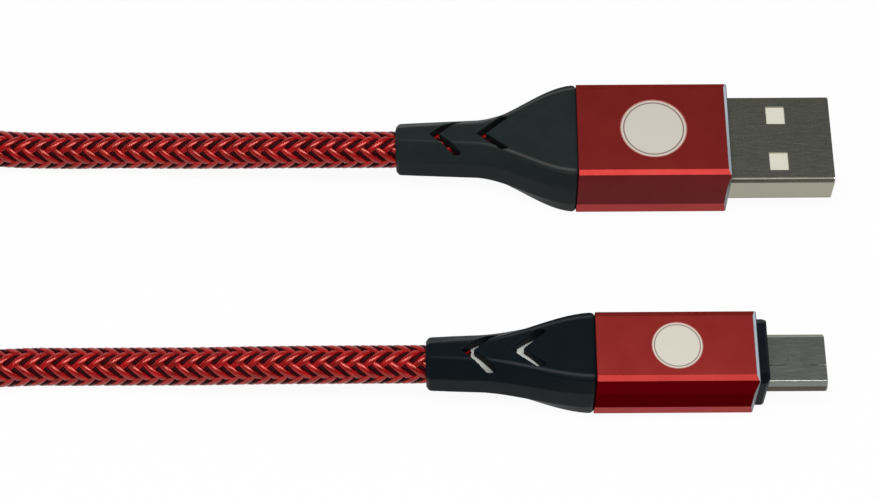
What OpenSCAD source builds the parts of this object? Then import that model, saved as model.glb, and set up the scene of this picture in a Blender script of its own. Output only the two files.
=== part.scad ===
// Charging cable with a USB-A plug at one end and a micro-B plug at the other.
// Both plugs lie side by side on a table and point along +X. The cord leaves them along -X
// and its spare length lies in a round coil behind them, held by a hook-and-loop tie.
// Millimetres. The origin is on the table, under the middle of the two plugs.

/* [Cord] */
// Diameter of the braided cord
cord_d = 4.3; // [4:0.1:4.6]
// Diameter of the inner jacket, under the braid
core_d = 3.2; // [2.8:0.1:3.4]
// Diameter of one insulated wire
wire_d = 0.9; // [0.7:0.05:1]

/* [Layout] */
// Distance between the two plugs' centre lines
plug_gap = 29; // [26:0.5:34]
// How far the micro-B tip lies behind the USB-A tip
tip_setback = 2.9; // [0:0.1:6]

/* [Housings] */
// Thickness of both housings
housing_t = 9.4; // [9:0.1:10.4]
// Width of the USB-A housing
a_housing_w = 13.6; // [13.4:0.1:14.6]
// Length of the USB-A housing
a_housing_l = 18.4; // [17:0.1:21]
// Width of the micro-B housing
b_housing_w = 9.6; // [9.2:0.1:11]
// Length of the micro-B housing
b_housing_l = 18.6; // [17:0.1:21]
// Wall of the housings
housing_wall = 0.65; // [0.5:0.05:0.7]
// Width of the narrow bevel beside the flat top
top_bevel_w = 0.65; // [0.4:0.05:0.8]
// Drop of the narrow bevel beside the flat top
top_bevel_h = 0.25; // [0.15:0.05:0.4]
// How far the sides lean in towards the top and bottom
side_draft_w = 0.4; // [0.2:0.05:0.5]
// Height of the leaning part of a side
side_draft_h = 2.6; // [1.5:0.1:3]
// Polished bevel round the front end
front_bevel = 0.45; // [0.2:0.05:0.55]
// Diameter of the round engraved badge on the USB-A housing
a_badge_d = 8.1; // [6:0.1:9]
// Diameter of the round engraved badge on the micro-B housing
b_badge_d = 5.9; // [4:0.1:6.5]
// Depth of the engraving
badge_depth = 0.05; // [0.02:0.01:0.1]
// Gap between a housing and what slides into it, each side
slide_gap = 0.05; // [0.03:0.01:0.1]

/* [Boots] */
// Length of the USB-A boot behind its housing
a_boot_l = 22; // [20:0.5:26]
// Length of the micro-B boot behind its housing
b_boot_l = 19.5; // [18:0.5:26]
// Width of the collar at the cord end
collar_w = 5.3; // [5.2:0.1:6.5]
// Height of the collar at the cord end
collar_h = 7.4; // [6.6:0.1:8]
// Width of the flat along the collar's top and bottom
collar_flat = 1.7; // [1.2:0.1:2]
// Height of the collar's flat sides
collar_side = 3.4; // [2.4:0.1:3.6]
// Chamfer round the collar's rear end
collar_chamfer = 0.45; // [0.2:0.05:0.6]
// Bevel rolled round the boot's front end
boot_rim = 0.5; // [0.2:0.05:0.8]
// Part of the boot that slides into the housing
boot_tenon = 2; // [1.5:0.1:2.5]
// Clearance round the cord in its bore, each side
cord_gap = 0.05; // [0.02:0.01:0.1]
// From the collar's rear end to the tip of the first chevron slot
slot_start = 4.1; // [3:0.1:5]
// From one chevron slot to the next
slot_pitch = 5.7; // [4.5:0.1:6]
// Width of a chevron slot, measured along the cord
slot_w = 1.4; // [0.8:0.1:1.8]
// Rise of a chevron's arms along the cord for each millimetre sideways
slot_slope = 1.3; // [0.8:0.1:1.5]
// How far a chevron's arms run past the collar's flat sides
slot_overrun = 0.5; // [0.3:0.1:1]
// Height above the cord's centre line at which the slots stop
slot_floor = 0.8; // [0.4:0.1:1.4]

/* [USB-A connector] */
// Width of the USB-A shell
a_shell_w = 12; // [11.9:0.1:12.1]
// Height of the USB-A shell
a_shell_h = 4.5; // [4.4:0.1:4.6]
// Length of shell in front of the housing
a_shell_out = 12.6; // [11.8:0.1:13.4]
// Whole length of the USB-A shell
a_shell_l = 18.8; // [17.5:0.1:20]
// Sheet thickness of the USB-A shell
a_sheet = 0.3; // [0.25:0.05:0.35]
// Outside corner radius of the USB-A shell
a_shell_r = 0.5; // [0.4:0.05:0.6]
// Width of a window across the plug
window_w = 2.5; // [2.2:0.1:2.8]
// Length of a window along the plug
window_l = 2.3; // [2:0.1:2.6]
// Distance between the two windows' centres
window_pitch = 6.5; // [6:0.1:7]
// From the tip to the windows' centres
window_back = 6.6; // [6:0.1:7.2]
// Thickness of the tongue
tongue_t = 1.84; // [1.7:0.02:1.9]
// Depth of the socket in front of the insulator block
a_socket_depth = 12; // [11.5:0.1:12.2]
// Width of a USB-A contact
a_contact_w = 1; // [0.8:0.1:1.1]
// Thickness of a USB-A contact
a_contact_t = 0.25; // [0.15:0.05:0.3]

/* [Micro-B connector] */
// Width of the micro-B shell
b_shell_w = 6.85; // [6.8:0.05:6.9]
// Height of the micro-B shell
b_shell_h = 1.8; // [1.75:0.05:1.85]
// Width of the shell's narrow upper face
b_shell_flat = 5.6; // [5.3:0.1:5.8]
// Length of shell in front of the bezel
b_shell_out = 7; // [6.8:0.1:7.4]
// Whole length of the micro-B shell
b_shell_l = 14; // [13:0.1:15]
// Sheet thickness of the micro-B shell
b_sheet = 0.25; // [0.2:0.05:0.25]
// How far the bezel stands out of the housing
bezel_out = 1.2; // [0.8:0.1:1.6]
// Length of the bezel inside the housing
bezel_in = 2; // [1.5:0.1:2.5]
// Corner chamfer of the bezel
bezel_corner = 1; // [0.8:0.1:1.2]
// Distance between two micro-B contacts
b_contact_pitch = 0.65; // [0.6:0.01:0.68]
// Width of a micro-B contact
b_contact_w = 0.3; // [0.2:0.02:0.32]
// Thickness of a micro-B contact and of the latch spring
spring_t = 0.15; // [0.12:0.01:0.16]
// Length of the sprung contact arms
contact_arm_l = 6; // [5:0.1:6.2]
// Length of the latch arms
latch_arm_l = 5.2; // [4.8:0.1:5.6]
// Width of a latch arm
latch_arm_w = 0.6; // [0.5:0.05:0.7]
// Distance between the two latch hooks' centres
latch_pitch = 5.1; // [4.9:0.05:5.2]
// How far the hooks stand out of the shell's lower face
hook_out = 0.45; // [0.3:0.05:0.5]
// Width of the dovetail seam in the shell
seam_w = 0.08; // [0.05:0.01:0.12]

/* [Inside the housings] */
// Length of the rear shield can
can_l = 8; // [6:0.5:8]
// Height of the USB-A shield can
a_can_h = 5.4; // [4.6:0.1:6]
// Height of the micro-B shield can
b_can_h = 4; // [3.6:0.1:5]
// Sheet thickness of the shield cans and crimp barrels
can_sheet = 0.25; // [0.2:0.05:0.3]
// Length of the crimp barrel behind a can
barrel_l = 5; // [3:0.5:6]
// Diameter of the inner moulds' noses in the boots
nose_d = 5.4; // [5.2:0.1:5.6]
// How far the USB-A mould's front lies behind the housing's front
a_mould_recess = 0.6; // [0.3:0.1:1]

/* [Coil and tie] */
// Radius of the coil's inner turns
coil_r = 18.5; // [16:0.5:22]
// Turns side by side in the coil
coil_columns = 3; // [2:1:4]
// Turns on top of each other in the coil
coil_layers = 2; // [1:1:3]
// Distance between two neighbouring turns' centres
turn_pitch = 4.5; // [4.3:0.1:5]
// Width of the tie
tie_w = 9; // [6:0.5:12]
// Thickness of the tie
tie_t = 0.5; // [0.4:0.1:1]
// Length of the tie's loose end on top
tie_end_l = 6; // [4:0.5:8]

/* [Hidden] */

// Round parts have fine steps
$fn = 48;
// A small overlap or overshoot that lets cuts pass cleanly through a face
cut = 0.5;
// Gap between a sprung arm and its fixed root
root_gap = 0.03;

// Lengths of the plugs from the housing's rear end to the tip
a_tip = a_housing_l + a_shell_out;
b_tip = b_housing_l + bezel_out + b_shell_out;
// Where each housing's rear end and centre line lie
a_x = (a_boot_l - a_tip) / 2;
a_y = (plug_gap + b_housing_w / 2 - a_housing_w / 2) / 2;
b_x = a_x + a_tip - tip_setback - b_tip;
b_y = a_y - plug_gap;
axis_z = housing_t / 2;

// Cavities inside the housings, which clear the shells, and the chamfer in their corners
a_cavity_w = max(a_housing_w - 2 * housing_wall, a_shell_w + 2 * slide_gap);
b_cavity_w = max(b_housing_w - 2 * housing_wall, b_shell_w + 2 * slide_gap);
cavity_h = housing_t - 2 * housing_wall;
cavity_chamfer = 0.8;

// The corner of the boot's collar, from its flat top to its flat side
collar_corner_cut = 0.12;

// Routes of the two free runs of cord, from inside the boots to the coil
RUN_A = [
    [-13.5, 13.5, 4.7], [-20, 13.5, 4.7], [-26.5, 13.5, 4.7], [-33, 13.5, 4.7],
    [-40, 13.7, 4.4], [-47, 14.1, 3.7], [-54, 14.6, 2.9], [-61, 15, 2.4],
    [-68, 15.1, 2.2], [-76, 15.5, 2.2], [-83, 17.2, 2.2], [-90, 20.6, 2.3],
    [-97, 24.2, 2.5], [-104, 26.6, 2.7], [-109, 27.3, 2.7], [-114, 27.5, 2.7]
];
RUN_B = [
    [-17.5, -15.5, 4.7], [-23, -15.5, 4.7], [-29, -15.5, 4.7], [-36, -15.4, 4.5],
    [-43, -15.1, 3.8], [-50, -14.8, 3], [-57, -14.5, 2.4], [-64, -14.4, 2.2],
    [-70, -14.4, 2.2], [-76, -15, 2.2], [-83, -17.6, 2.5], [-90, -22, 3.6],
    [-97, -25.9, 5.3], [-104, -27.4, 6.7], [-109, -27.5, 7.1], [-114, -27.5, 7.2]
];
// Centre of the coil on the table
coil_x = -114;
cord_sides = 10;

// ---- Shared shapes ----

// Straight blend from a to b
function blend(a, b, t) = a + (b - a) * t;

// A whole outline from the points of its upper right quarter
function four_way(q) = concat(
    q,
    [for (i = [len(q) - 1:-1:0]) [q[i][0], -q[i][1]]],
    [for (p = q) [-p[0], -p[1]]],
    [for (i = [len(q) - 1:-1:0]) [-q[i][0], q[i][1]]]
);

// Upper right quarter of a housing's outline
function housing_corner(w) = [
    [w / 2 - side_draft_w - top_bevel_w, housing_t / 2],
    [w / 2 - side_draft_w, housing_t / 2 - top_bevel_h],
    [w / 2, housing_t / 2 - top_bevel_h - side_draft_h]
];

// Rectangle with chamfered corners
function chamfered(w, h, c) = four_way([[w / 2 - c, h / 2], [w / 2, h / 2 - c]]);

// Extrudes a flat outline in Y and Z along X
module along_x(x0, x1) {
    translate([x0, 0, 0]) rotate([90, 0, 90]) linear_extrude(height = x1 - x0) children();
}

// Box from x0 to x1 and z0 to z1, centred on y
module block(x0, x1, w, z0, z1, y = 0) {
    translate([x0, y - w / 2, z0]) cube([x1 - x0, w, z1 - z0]);
}

// Round bar or bore along X
module bar_x(x0, x1, d) {
    translate([x0, 0, 0]) rotate([0, 90, 0]) cylinder(h = x1 - x0, d = d);
}

// Round bar between any two points
module bar(p, q, d) {
    v = q - p;
    l = norm(v);
    translate(p) rotate([0, acos(v[2] / l), atan2(v[1], v[0])]) cylinder(h = l, d = d);
}

// Rectangle with round corners
module rounded(w, h, r) {
    square([w - 2 * r, h], center = true);
    square([w, h - 2 * r], center = true);
    for (y = [-1, 1], z = [-1, 1]) translate([y * (w / 2 - r), z * (h / 2 - r)]) circle(r = r);
}

// Closed solid through rings of points that all have the same count
module loft(rings) {
    n = len(rings[0]);
    m = len(rings);
    sides = [for (i = [0:m - 2], j = [0:n - 1]) let (k = (j + 1) % n)
        each [[i * n + j, i * n + k, (i + 1) * n + k], [i * n + j, (i + 1) * n + k, (i + 1) * n + j]]];
    first_end = [[for (j = [n - 1:-1:0]) j]];
    last_end = [[for (j = [0:n - 1]) (m - 1) * n + j]];
    polyhedron(points = [for (r = rings) each r], faces = concat(sides, first_end, last_end));
}

// Places of the two plugs
module at_usb_a() {
    translate([a_x, a_y, axis_z]) children();
}
module at_micro() {
    translate([b_x, b_y, axis_z]) children();
}

// ---- Housings ----

// Aluminium sleeve, open at both ends, with a bevelled front end and an engraved badge
module housing(w, l, cavity_w, badge_d) {
    bevel_side = front_bevel * sqrt(2);
    difference() {
        along_x(0, l) polygon(four_way(housing_corner(w)));
        along_x(-cut, l + cut) polygon(chamfered(cavity_w, cavity_h, cavity_chamfer));
        for (s = [-1, 1]) {
            translate([l, 0, s * housing_t / 2]) rotate([0, 45, 0])
                cube([bevel_side, w + cut, bevel_side], center = true);
            translate([l, s * w / 2, 0]) rotate([0, 0, 45])
                cube([bevel_side, bevel_side, housing_t + cut], center = true);
        }
        translate([l / 2, 0, housing_t / 2 - badge_depth]) cylinder(h = cut, d = badge_d);
    }
}

module usb_a_housing() {
    color([0.62, 0.06, 0.06]) at_usb_a() housing(a_housing_w, a_housing_l, a_cavity_w, a_badge_d);
}

module micro_housing() {
    color([0.62, 0.06, 0.06]) at_micro() housing(b_housing_w, b_housing_l, b_cavity_w, b_badge_d);
}

// ---- Boots ----

// Upper right quarter of the collar's outline
function collar_corner() = [
    [collar_flat / 2, collar_h / 2],
    [blend(collar_flat / 2, collar_w / 2, collar_corner_cut),
        blend(collar_h / 2, collar_side / 2, collar_corner_cut)],
    [collar_w / 2, collar_side / 2]
];

// Smooth step from 0 to 1
function smooth(t) = t * t * (3 - 2 * t);

// How far the boot has widened from collar to housing at a share s of its length
function flare(s, neck) = s < neck ? 0.1 * s / neck : 0.1 + 0.9 * smooth((s - neck) / (1 - neck));

// One ring of the boot, shrunk by an inset
function boot_ring(x, f, w, inset) =
    let (c = collar_corner(), h = housing_corner(w), half = blend(collar_w, w, f) / 2)
    [for (p = four_way([for (i = [0:2]) blend(c[i], h[i], f)]))
        [x, p[0] * (1 - inset / half), p[1] * (1 - inset / axis_z)]];

// Chevron slot through the boot's upper half, pointing at the cord
module chevron(x) {
    reach = collar_w / 2 + slot_overrun;
    arm = reach * slot_slope;
    translate([x, 0, slot_floor]) linear_extrude(height = collar_h)
        polygon([[0, 0], [arm, reach], [arm + slot_w, reach], [slot_w, 0],
            [arm + slot_w, -reach], [arm, -reach]]);
}

// Moulded boot: faceted collar that flares to the housing, with a tenon inside the housing.
// The neck is the share of its length before the flare, and the nose is the mould in its bore.
module boot(w, l, cavity_w, neck, cord_end) {
    steps = 12;
    rear_rings = [boot_ring(-l, 0, w, collar_chamfer), boot_ring(collar_chamfer - l, 0, w, 0)];
    flare_rings = [for (i = [1:steps - 1]) boot_ring(i * l / steps - l, flare(i / steps, neck), w, 0)];
    rim_rings = [boot_ring(-boot_rim, 1, w, 0), boot_ring(0, 1, w, boot_rim * 0.6)];
    difference() {
        union() {
            loft(concat(rear_rings, flare_rings, rim_rings));
            along_x(0, boot_tenon)
                polygon(chamfered(cavity_w - 2 * slide_gap, cavity_h - 2 * slide_gap, cavity_chamfer));
        }
        bar_x(-l - cut, boot_tenon + cut, cord_d + 2 * cord_gap);
        bar_x(max(nose_start, cord_end), boot_tenon + cut, nose_d);
        for (i = [0, 1]) {
            chevron(i * slot_pitch + slot_start - l);
            mirror([0, 0, 1]) chevron((i - 0.4) * slot_pitch + slot_start - l);
        }
    }
}

// Shares of the boots' lengths before they flare
a_neck = 0.42;
b_neck = 0.27;
// Where the cord ends in each boot, from the housing's rear end
a_cord_end = RUN_A[0][0] - a_x;
b_cord_end = RUN_B[0][0] - b_x;
// Where the thick part of both noses starts, unless the cord reaches further in
nose_start = -9;

module usb_a_boot() {
    color([0.11, 0.12, 0.13]) at_usb_a() boot(a_housing_w, a_boot_l, a_cavity_w, a_neck, a_cord_end);
}

module micro_boot() {
    color([0.11, 0.12, 0.13]) at_micro() boot(b_housing_w, b_boot_l, b_cavity_w, b_neck, b_cord_end);
}

// ---- Inside the housings ----

// Where the shells end and the shield cans start, and the cans' widths
a_can_end = a_tip - a_shell_l;
b_can_end = b_tip - b_shell_l;
a_can_w = a_shell_w - 1;
b_can_w = b_shell_w + 0.6;
barrel_d = core_d + 2 * can_sheet;

// Shield can, open in front, with the barrel that is crimped on the jacket
module rear_shield(w, h, front) {
    rear = front - can_l;
    difference() {
        union() {
            block(rear, front, w, -h / 2, h / 2);
            bar_x(rear - barrel_l, rear, barrel_d);
        }
        block(rear + can_sheet, front + cut, w - 2 * can_sheet, can_sheet - h / 2, h / 2 - can_sheet);
        bar_x(rear - barrel_l - cut, rear + cut, core_d);
    }
}

// Mould that fills the housing's rear and reaches into the boot
module inner_mould(cavity_w, can_w, can_h, can_front, front, cord_end) {
    can_rear = can_front - can_l;
    thick_start = max(nose_start, cord_end);
    difference() {
        union() {
            along_x(boot_tenon, front)
                polygon(chamfered(cavity_w - 2 * slide_gap, cavity_h - 2 * slide_gap, cavity_chamfer));
            bar_x(thick_start, boot_tenon, nose_d);
            if (cord_end < thick_start) bar_x(cord_end, thick_start, cord_d);
        }
        bar_x(cord_end - cut, can_rear + cut, core_d);
        bar_x(can_rear - barrel_l, can_rear + cut, barrel_d);
        block(can_rear, can_front, can_w, -can_h / 2, can_h / 2);
        children();
    }
}

// End of the inner jacket, where its four wires come out
module inner_jacket(cord_end, front) {
    bar_x(cord_end, front - can_l, core_d);
}

// One slanting wire from the jacket's flat end, where it is cut flush, to its contact tail
module wire(place, front, tail) {
    jacket_end = front - can_l;
    start = [jacket_end, place[0], place[1]];
    way = (tail - start) / norm(tail - start);
    difference() {
        bar(start - cut * way, tail, wire_d);
        block(jacket_end - 2 * cut, jacket_end, core_d, -core_d / 2, core_d / 2);
    }
}

// Places of the four wires in the jacket
WIRES = [[-0.55, 0.55], [-0.55, -0.55], [0.55, -0.55], [0.55, 0.55]];

module usb_a_rear_shield() {
    color([0.75, 0.76, 0.78]) at_usb_a() rear_shield(a_can_w, a_can_h, a_can_end);
}

module micro_rear_shield() {
    color([0.75, 0.76, 0.78]) at_micro() rear_shield(b_can_w, b_can_h, b_can_end);
}

module usb_a_inner_mould() {
    color([0.85, 0.85, 0.82]) at_usb_a()
        inner_mould(a_cavity_w, a_can_w, a_can_h, a_can_end, a_housing_l - a_mould_recess, a_cord_end)
            block(a_can_end, a_housing_l, a_housing_w, -a_shell_h / 2, a_shell_h / 2);
}

module micro_inner_mould() {
    color([0.92, 0.92, 0.9]) at_micro()
        inner_mould(b_cavity_w, b_can_w, b_can_h, b_can_end, b_housing_l - bezel_in, b_cord_end)
            along_x(b_can_end, b_housing_l) polygon(micro_outline(0));
}

module usb_a_inner_jacket() {
    color([0.1, 0.1, 0.1]) at_usb_a() inner_jacket(a_cord_end, a_can_end);
}

module micro_inner_jacket() {
    color([0.1, 0.1, 0.1]) at_micro() inner_jacket(b_cord_end, b_can_end);
}

module usb_a_wire(i) {
    at_usb_a() wire(WIRES[i], a_can_end, [a_tail_x, A_CONTACTS[i][0], a_wire_z]);
}

module usb_a_wire_red() {
    color([0.8, 0.1, 0.1]) usb_a_wire(0);
}

module usb_a_wire_white() {
    color([0.9, 0.9, 0.9]) usb_a_wire(1);
}

module usb_a_wire_green() {
    color([0.1, 0.55, 0.2]) usb_a_wire(2);
}

module usb_a_wire_black() {
    color([0.08, 0.08, 0.08]) usb_a_wire(3);
}

// A wire soldered on top of its contact tail, or under it, so that neighbours stay apart
module micro_wire(i, contact, on_top) {
    z = on_top ? b_contact_z + spring_t + wire_d / 2 : b_contact_z - wire_d / 2;
    at_micro() wire(WIRES[i], b_can_end, [b_tail_x, contact * b_contact_pitch, z]);
}

module micro_wire_red() {
    color([0.8, 0.1, 0.1]) micro_wire(0, -2, true);
}

module micro_wire_white() {
    color([0.9, 0.9, 0.9]) micro_wire(1, -1, false);
}

module micro_wire_green() {
    color([0.1, 0.55, 0.2]) micro_wire(3, 0, true);
}

module micro_wire_black() {
    color([0.08, 0.08, 0.08]) micro_wire(2, 2, false);
}

// ---- USB-A connector ----

// Inside of the shell, and the face of the tongue that carries the contacts
a_inner_w = a_shell_w - 2 * a_sheet;
a_inner_z = a_shell_h / 2 - a_sheet;
a_tongue_z = a_inner_z - tongue_t;
a_block_x = a_tip - a_socket_depth;
// The insulator's rear end stands in the shield can, and the contacts reach past it
a_insulator_x = a_can_end - 1.5;
a_tail_x = a_insulator_x - 1;
a_wire_z = a_tongue_z + a_contact_t + wire_d / 2;
// Side place and length in the socket of each contact: power, data, data, ground
A_CONTACTS = [[-3.5, 7.4], [-1, 6.4], [1, 6.4], [3.5, 7.4]];
a_contact_back = 8.8;

module usb_a_shell() {
    color([0.72, 0.73, 0.72]) at_usb_a() difference() {
        along_x(a_can_end, a_tip) rounded(a_shell_w, a_shell_h, a_shell_r);
        along_x(a_can_end - cut, a_tip + cut)
            rounded(a_inner_w, 2 * a_inner_z, a_shell_r - a_sheet);
        for (y = [-1, 1])
            block(a_tip - window_back - window_l / 2, a_tip - window_back + window_l / 2, window_w,
                -a_shell_h, a_shell_h, y * window_pitch / 2);
    }
}

// Slot for, or strip of, one contact
module usb_a_contact(i) {
    block(a_tail_x, a_tip - a_contact_back + A_CONTACTS[i][1], a_contact_w,
        a_tongue_z, a_tongue_z + a_contact_t, A_CONTACTS[i][0]);
}

module usb_a_insulator() {
    side = a_shell_r - a_sheet;
    color([0.93, 0.92, 0.86]) at_usb_a() difference() {
        union() {
            block(a_insulator_x, a_can_end, a_can_w - 2 * can_sheet, -a_inner_z, a_inner_z);
            block(a_can_end, a_block_x, a_inner_w - 2 * side, -a_inner_z, a_inner_z);
            block(a_block_x, a_tip - 0.3, a_inner_w - 2 * side, a_tongue_z, a_inner_z);
        }
        for (i = [0:3]) usb_a_contact(i);
    }
}

module usb_a_contacts() {
    color([0.83, 0.68, 0.3]) at_usb_a() for (i = [0:3]) usb_a_contact(i);
}

// ---- Micro-B connector ----

// Outline of the micro-B shell, moved inwards by e: narrow flat on top, wide face below
function micro_outline(e) = let (
    top = b_shell_h / 2 - e,
    flat = b_shell_flat / 2 - 0.45 * e,
    side = b_shell_w / 2 - e,
    shoulder = b_shell_h / 9 - 0.4 * e,
    foot = 0.25 - 0.4 * e
) [
    [flat, top], [side, shoulder], [side, foot - top], [side - foot, -top],
    [foot - side, -top], [-side, foot - top], [-side, shoulder], [-flat, top]
];

// Inside of the shell, and the plate that carries the contacts under its narrow face
b_inner_z = b_shell_h / 2 - b_sheet;
b_plate_z = 0.2;
b_root_x = b_tip - 1.2 - contact_arm_l;
b_latch_x = b_tip - 2 - latch_arm_l;
b_insulator_x = b_can_end - 0.8;
b_tail_x = b_insulator_x - 1;
b_contact_z = b_plate_z - spring_t - 0.03;
// Height of the latch arms, just above the shell's lower wall
b_latch_z = -b_inner_z + 0.03;
// The hooks' rear ends, their length, and the room round them in the shell's windows
hook_back = 3.1;
hook_x = b_tip - hook_back;
hook_l = 0.9;
hook_gap = 0.2;
// The seam's path along the narrow face, as distances behind the tip and sideways
SEAM = [[14.1, -0.8], [10.1, -0.8], [9.7, 0.4], [8.4, 0.4], [8, -0.8], [4.8, -0.8],
    [4.2, 0.3], [3.1, 0.3], [2.5, -0.8], [-0.1, -0.8]];

module micro_shell() {
    color([0.6, 0.62, 0.62]) at_micro() difference() {
        along_x(b_can_end, b_tip) polygon(micro_outline(0));
        along_x(b_can_end - cut, b_tip + cut) polygon(micro_outline(b_sheet));
        translate([b_tip, 0, 0]) linear_extrude(height = b_shell_h) polygon(concat(
            [for (p = SEAM) [-p[0], p[1] + seam_w / 2]],
            [for (i = [len(SEAM) - 1:-1:0]) [-SEAM[i][0], SEAM[i][1] - seam_w / 2]]
        ));
        for (y = [-1, 1])
            block(hook_x - hook_gap, hook_x + hook_l + hook_gap, latch_arm_w + hook_gap,
                -b_shell_h, 0, y * latch_pitch / 2);
    }
}

// Row of five contact strips or slots
module micro_contact_row(x0, x1, w, z0, z1) {
    for (i = [-2:2]) block(x0, x1, w, z0, z1, i * b_contact_pitch);
}

module micro_insulator() {
    plate = [[b_shell_flat / 2 - 0.2, b_inner_z], [b_shell_w / 2 - 0.45, b_plate_z],
        [0.45 - b_shell_w / 2, b_plate_z], [0.2 - b_shell_flat / 2, b_inner_z]];
    color([0.9, 0.9, 0.86]) at_micro() difference() {
        union() {
            along_x(b_insulator_x, b_root_x) polygon(micro_outline(b_sheet));
            along_x(b_root_x, b_tip - 0.5) polygon(plate);
        }
        // Slots behind and grooves above the contacts
        micro_contact_row(b_insulator_x - cut, b_root_x + cut, b_contact_w, b_contact_z, b_plate_z);
        micro_contact_row(b_root_x, b_tip - 1, b_contact_w + 0.1, b_contact_z, b_shell_h);
        // Channel for the latch spring
        block(b_insulator_x - cut, b_tip, latch_pitch + latch_arm_w + 0.1, -b_shell_h, b_latch_z + spring_t);
        // Room for the latch arms to lift
        for (y = [-1, 1])
            block(b_latch_x, b_tip, latch_arm_w + 0.1, -b_shell_h, b_plate_z, y * latch_pitch / 2);
    }
}

module micro_contact_tails() {
    color([0.83, 0.68, 0.3]) at_micro()
        micro_contact_row(b_tail_x, b_root_x - root_gap, b_contact_w, b_contact_z, b_contact_z + spring_t);
}

// Five sprung arms, each with a rounded bump that touches the socket's tongue
module micro_contact_arms() {
    bump_r = 0.25;
    color([0.83, 0.68, 0.3]) at_micro() {
        micro_contact_row(b_root_x, b_root_x + contact_arm_l, b_contact_w, b_contact_z, b_contact_z + spring_t);
        for (i = [-2:2])
            translate([b_root_x + contact_arm_l - 1, i * b_contact_pitch, b_contact_z + spring_t / 2])
                rotate([90, 0, 0]) intersection() {
                    cylinder(h = b_contact_w, r = bump_r, center = true);
                    translate([0, -bump_r, 0]) cube([2, 2 * bump_r, 1], center = true);
                }
    }
}

module micro_latch_base() {
    color([0.7, 0.71, 0.72]) at_micro()
        block(b_insulator_x, b_latch_x - root_gap, latch_pitch + latch_arm_w, b_latch_z, b_latch_z + spring_t);
}

// Two sprung arms whose hooks stand out of the shell's wide face
module micro_latch_arms() {
    depth = b_shell_h / 2 + hook_out + b_latch_z + spring_t;
    color([0.7, 0.71, 0.72]) at_micro() for (y = [-1, 1]) translate([0, y * latch_pitch / 2, 0]) {
        block(b_latch_x, b_latch_x + latch_arm_l, latch_arm_w, b_latch_z, b_latch_z + spring_t);
        translate([hook_x, 0, b_latch_z + spring_t]) rotate([90, 0, 0])
            linear_extrude(height = latch_arm_w - 0.1, center = true)
                polygon([[0, 0], [0, -depth], [0.3, -depth], [hook_l, -spring_t - 0.1], [hook_l, 0]]);
    }
}

// Bezel that closes the micro-B housing round the shell
module micro_bezel() {
    w = b_cavity_w - 2 * slide_gap;
    h = cavity_h - 2 * slide_gap;
    round_x = b_housing_l + bezel_out;
    bevel_side = 0.35 * sqrt(2);
    color([0.07, 0.08, 0.09]) at_micro() difference() {
        along_x(b_housing_l - bezel_in, round_x) polygon(chamfered(w, h, bezel_corner));
        along_x(b_housing_l - bezel_in - cut, round_x + cut) polygon(micro_outline(0));
        for (s = [-1, 1]) {
            translate([round_x, 0, s * h / 2]) rotate([0, 45, 0])
                cube([bevel_side, w + cut, bevel_side], center = true);
            translate([round_x, s * w / 2, 0]) rotate([0, 0, 45])
                cube([bevel_side, bevel_side, h + cut], center = true);
        }
    }
}

// ---- Cord ----

// Direction of a route at one of its points
function heading(route, i) = let (
    d = route[min(i + 1, len(route) - 1)] - route[max(i - 1, 0)]
) d / norm(d);

// Ring of points round a route at one of its points
function cord_ring(route, i) = let (
    t = heading(route, i),
    side = cross(t, [0, 0, 1]) / norm(cross(t, [0, 0, 1])),
    up = cross(side, t)
) [for (j = [0:cord_sides - 1]) let (a = -360 * j / cord_sides)
    route[i] + cord_d / 2 * (cos(a) * side + sin(a) * up)];

module cord_run(route) {
    loft([for (i = [0:len(route) - 1]) cord_ring(route, i)]);
}

module cord_run_usb_a() {
    color([0.7, 0.08, 0.09]) cord_run(RUN_A);
}

module cord_run_micro() {
    color([0.7, 0.08, 0.09]) cord_run(RUN_B);
}

// Half the width of the bundle of turns, its middle radius, and its height
coil_half = ((coil_columns - 1) * turn_pitch + cord_d) / 2 + 0.05;
coil_mid = coil_r + (coil_columns - 1) * turn_pitch / 2;
coil_h = (coil_layers - 1) * turn_pitch + cord_d;

module cord_coil() {
    color([0.7, 0.08, 0.09]) translate([coil_x, 0, tie_t + coil_h / 2]) rotate_extrude($fn = 96)
        translate([coil_mid, 0]) polygon(chamfered(2 * coil_half, coil_h, 1.2));
}

// Hook-and-loop tie round the bundle on its far side, with its loose end on top
module coil_tie() {
    tie_gap = 0.1;
    near = sqrt(pow(coil_mid - coil_half, 2) - pow(tie_w / 2, 2)) - tie_gap;
    far = coil_mid + coil_half + tie_gap;
    inner_w = far - near;
    color([0.06, 0.06, 0.06]) translate([coil_x - (near + far) / 2, tie_w / 2, tie_t + coil_h / 2])
        rotate([90, 0, 0]) {
            linear_extrude(height = tie_w) difference() {
                polygon(chamfered(inner_w + 2 * tie_t, coil_h + 2 * tie_t, 1.2));
                polygon(chamfered(inner_w, coil_h, 1));
            }
            translate([-tie_end_l / 2, coil_h / 2 + tie_t / 2, 0]) cube([tie_end_l, 1.5 * tie_t, tie_w]);
        }
}

usb_a_shell();
usb_a_insulator();
usb_a_contacts();
usb_a_rear_shield();
usb_a_inner_mould();
usb_a_wire_red();
usb_a_wire_white();
usb_a_wire_green();
usb_a_wire_black();
usb_a_inner_jacket();
usb_a_housing();
usb_a_boot();
micro_shell();
micro_insulator();
micro_contact_tails();
micro_contact_arms();
micro_latch_base();
micro_latch_arms();
micro_rear_shield();
micro_inner_mould();
micro_wire_red();
micro_wire_white();
micro_wire_green();
micro_wire_black();
micro_inner_jacket();
micro_housing();
micro_bezel();
micro_boot();
cord_run_usb_a();
cord_run_micro();
cord_coil();
coil_tie();
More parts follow.
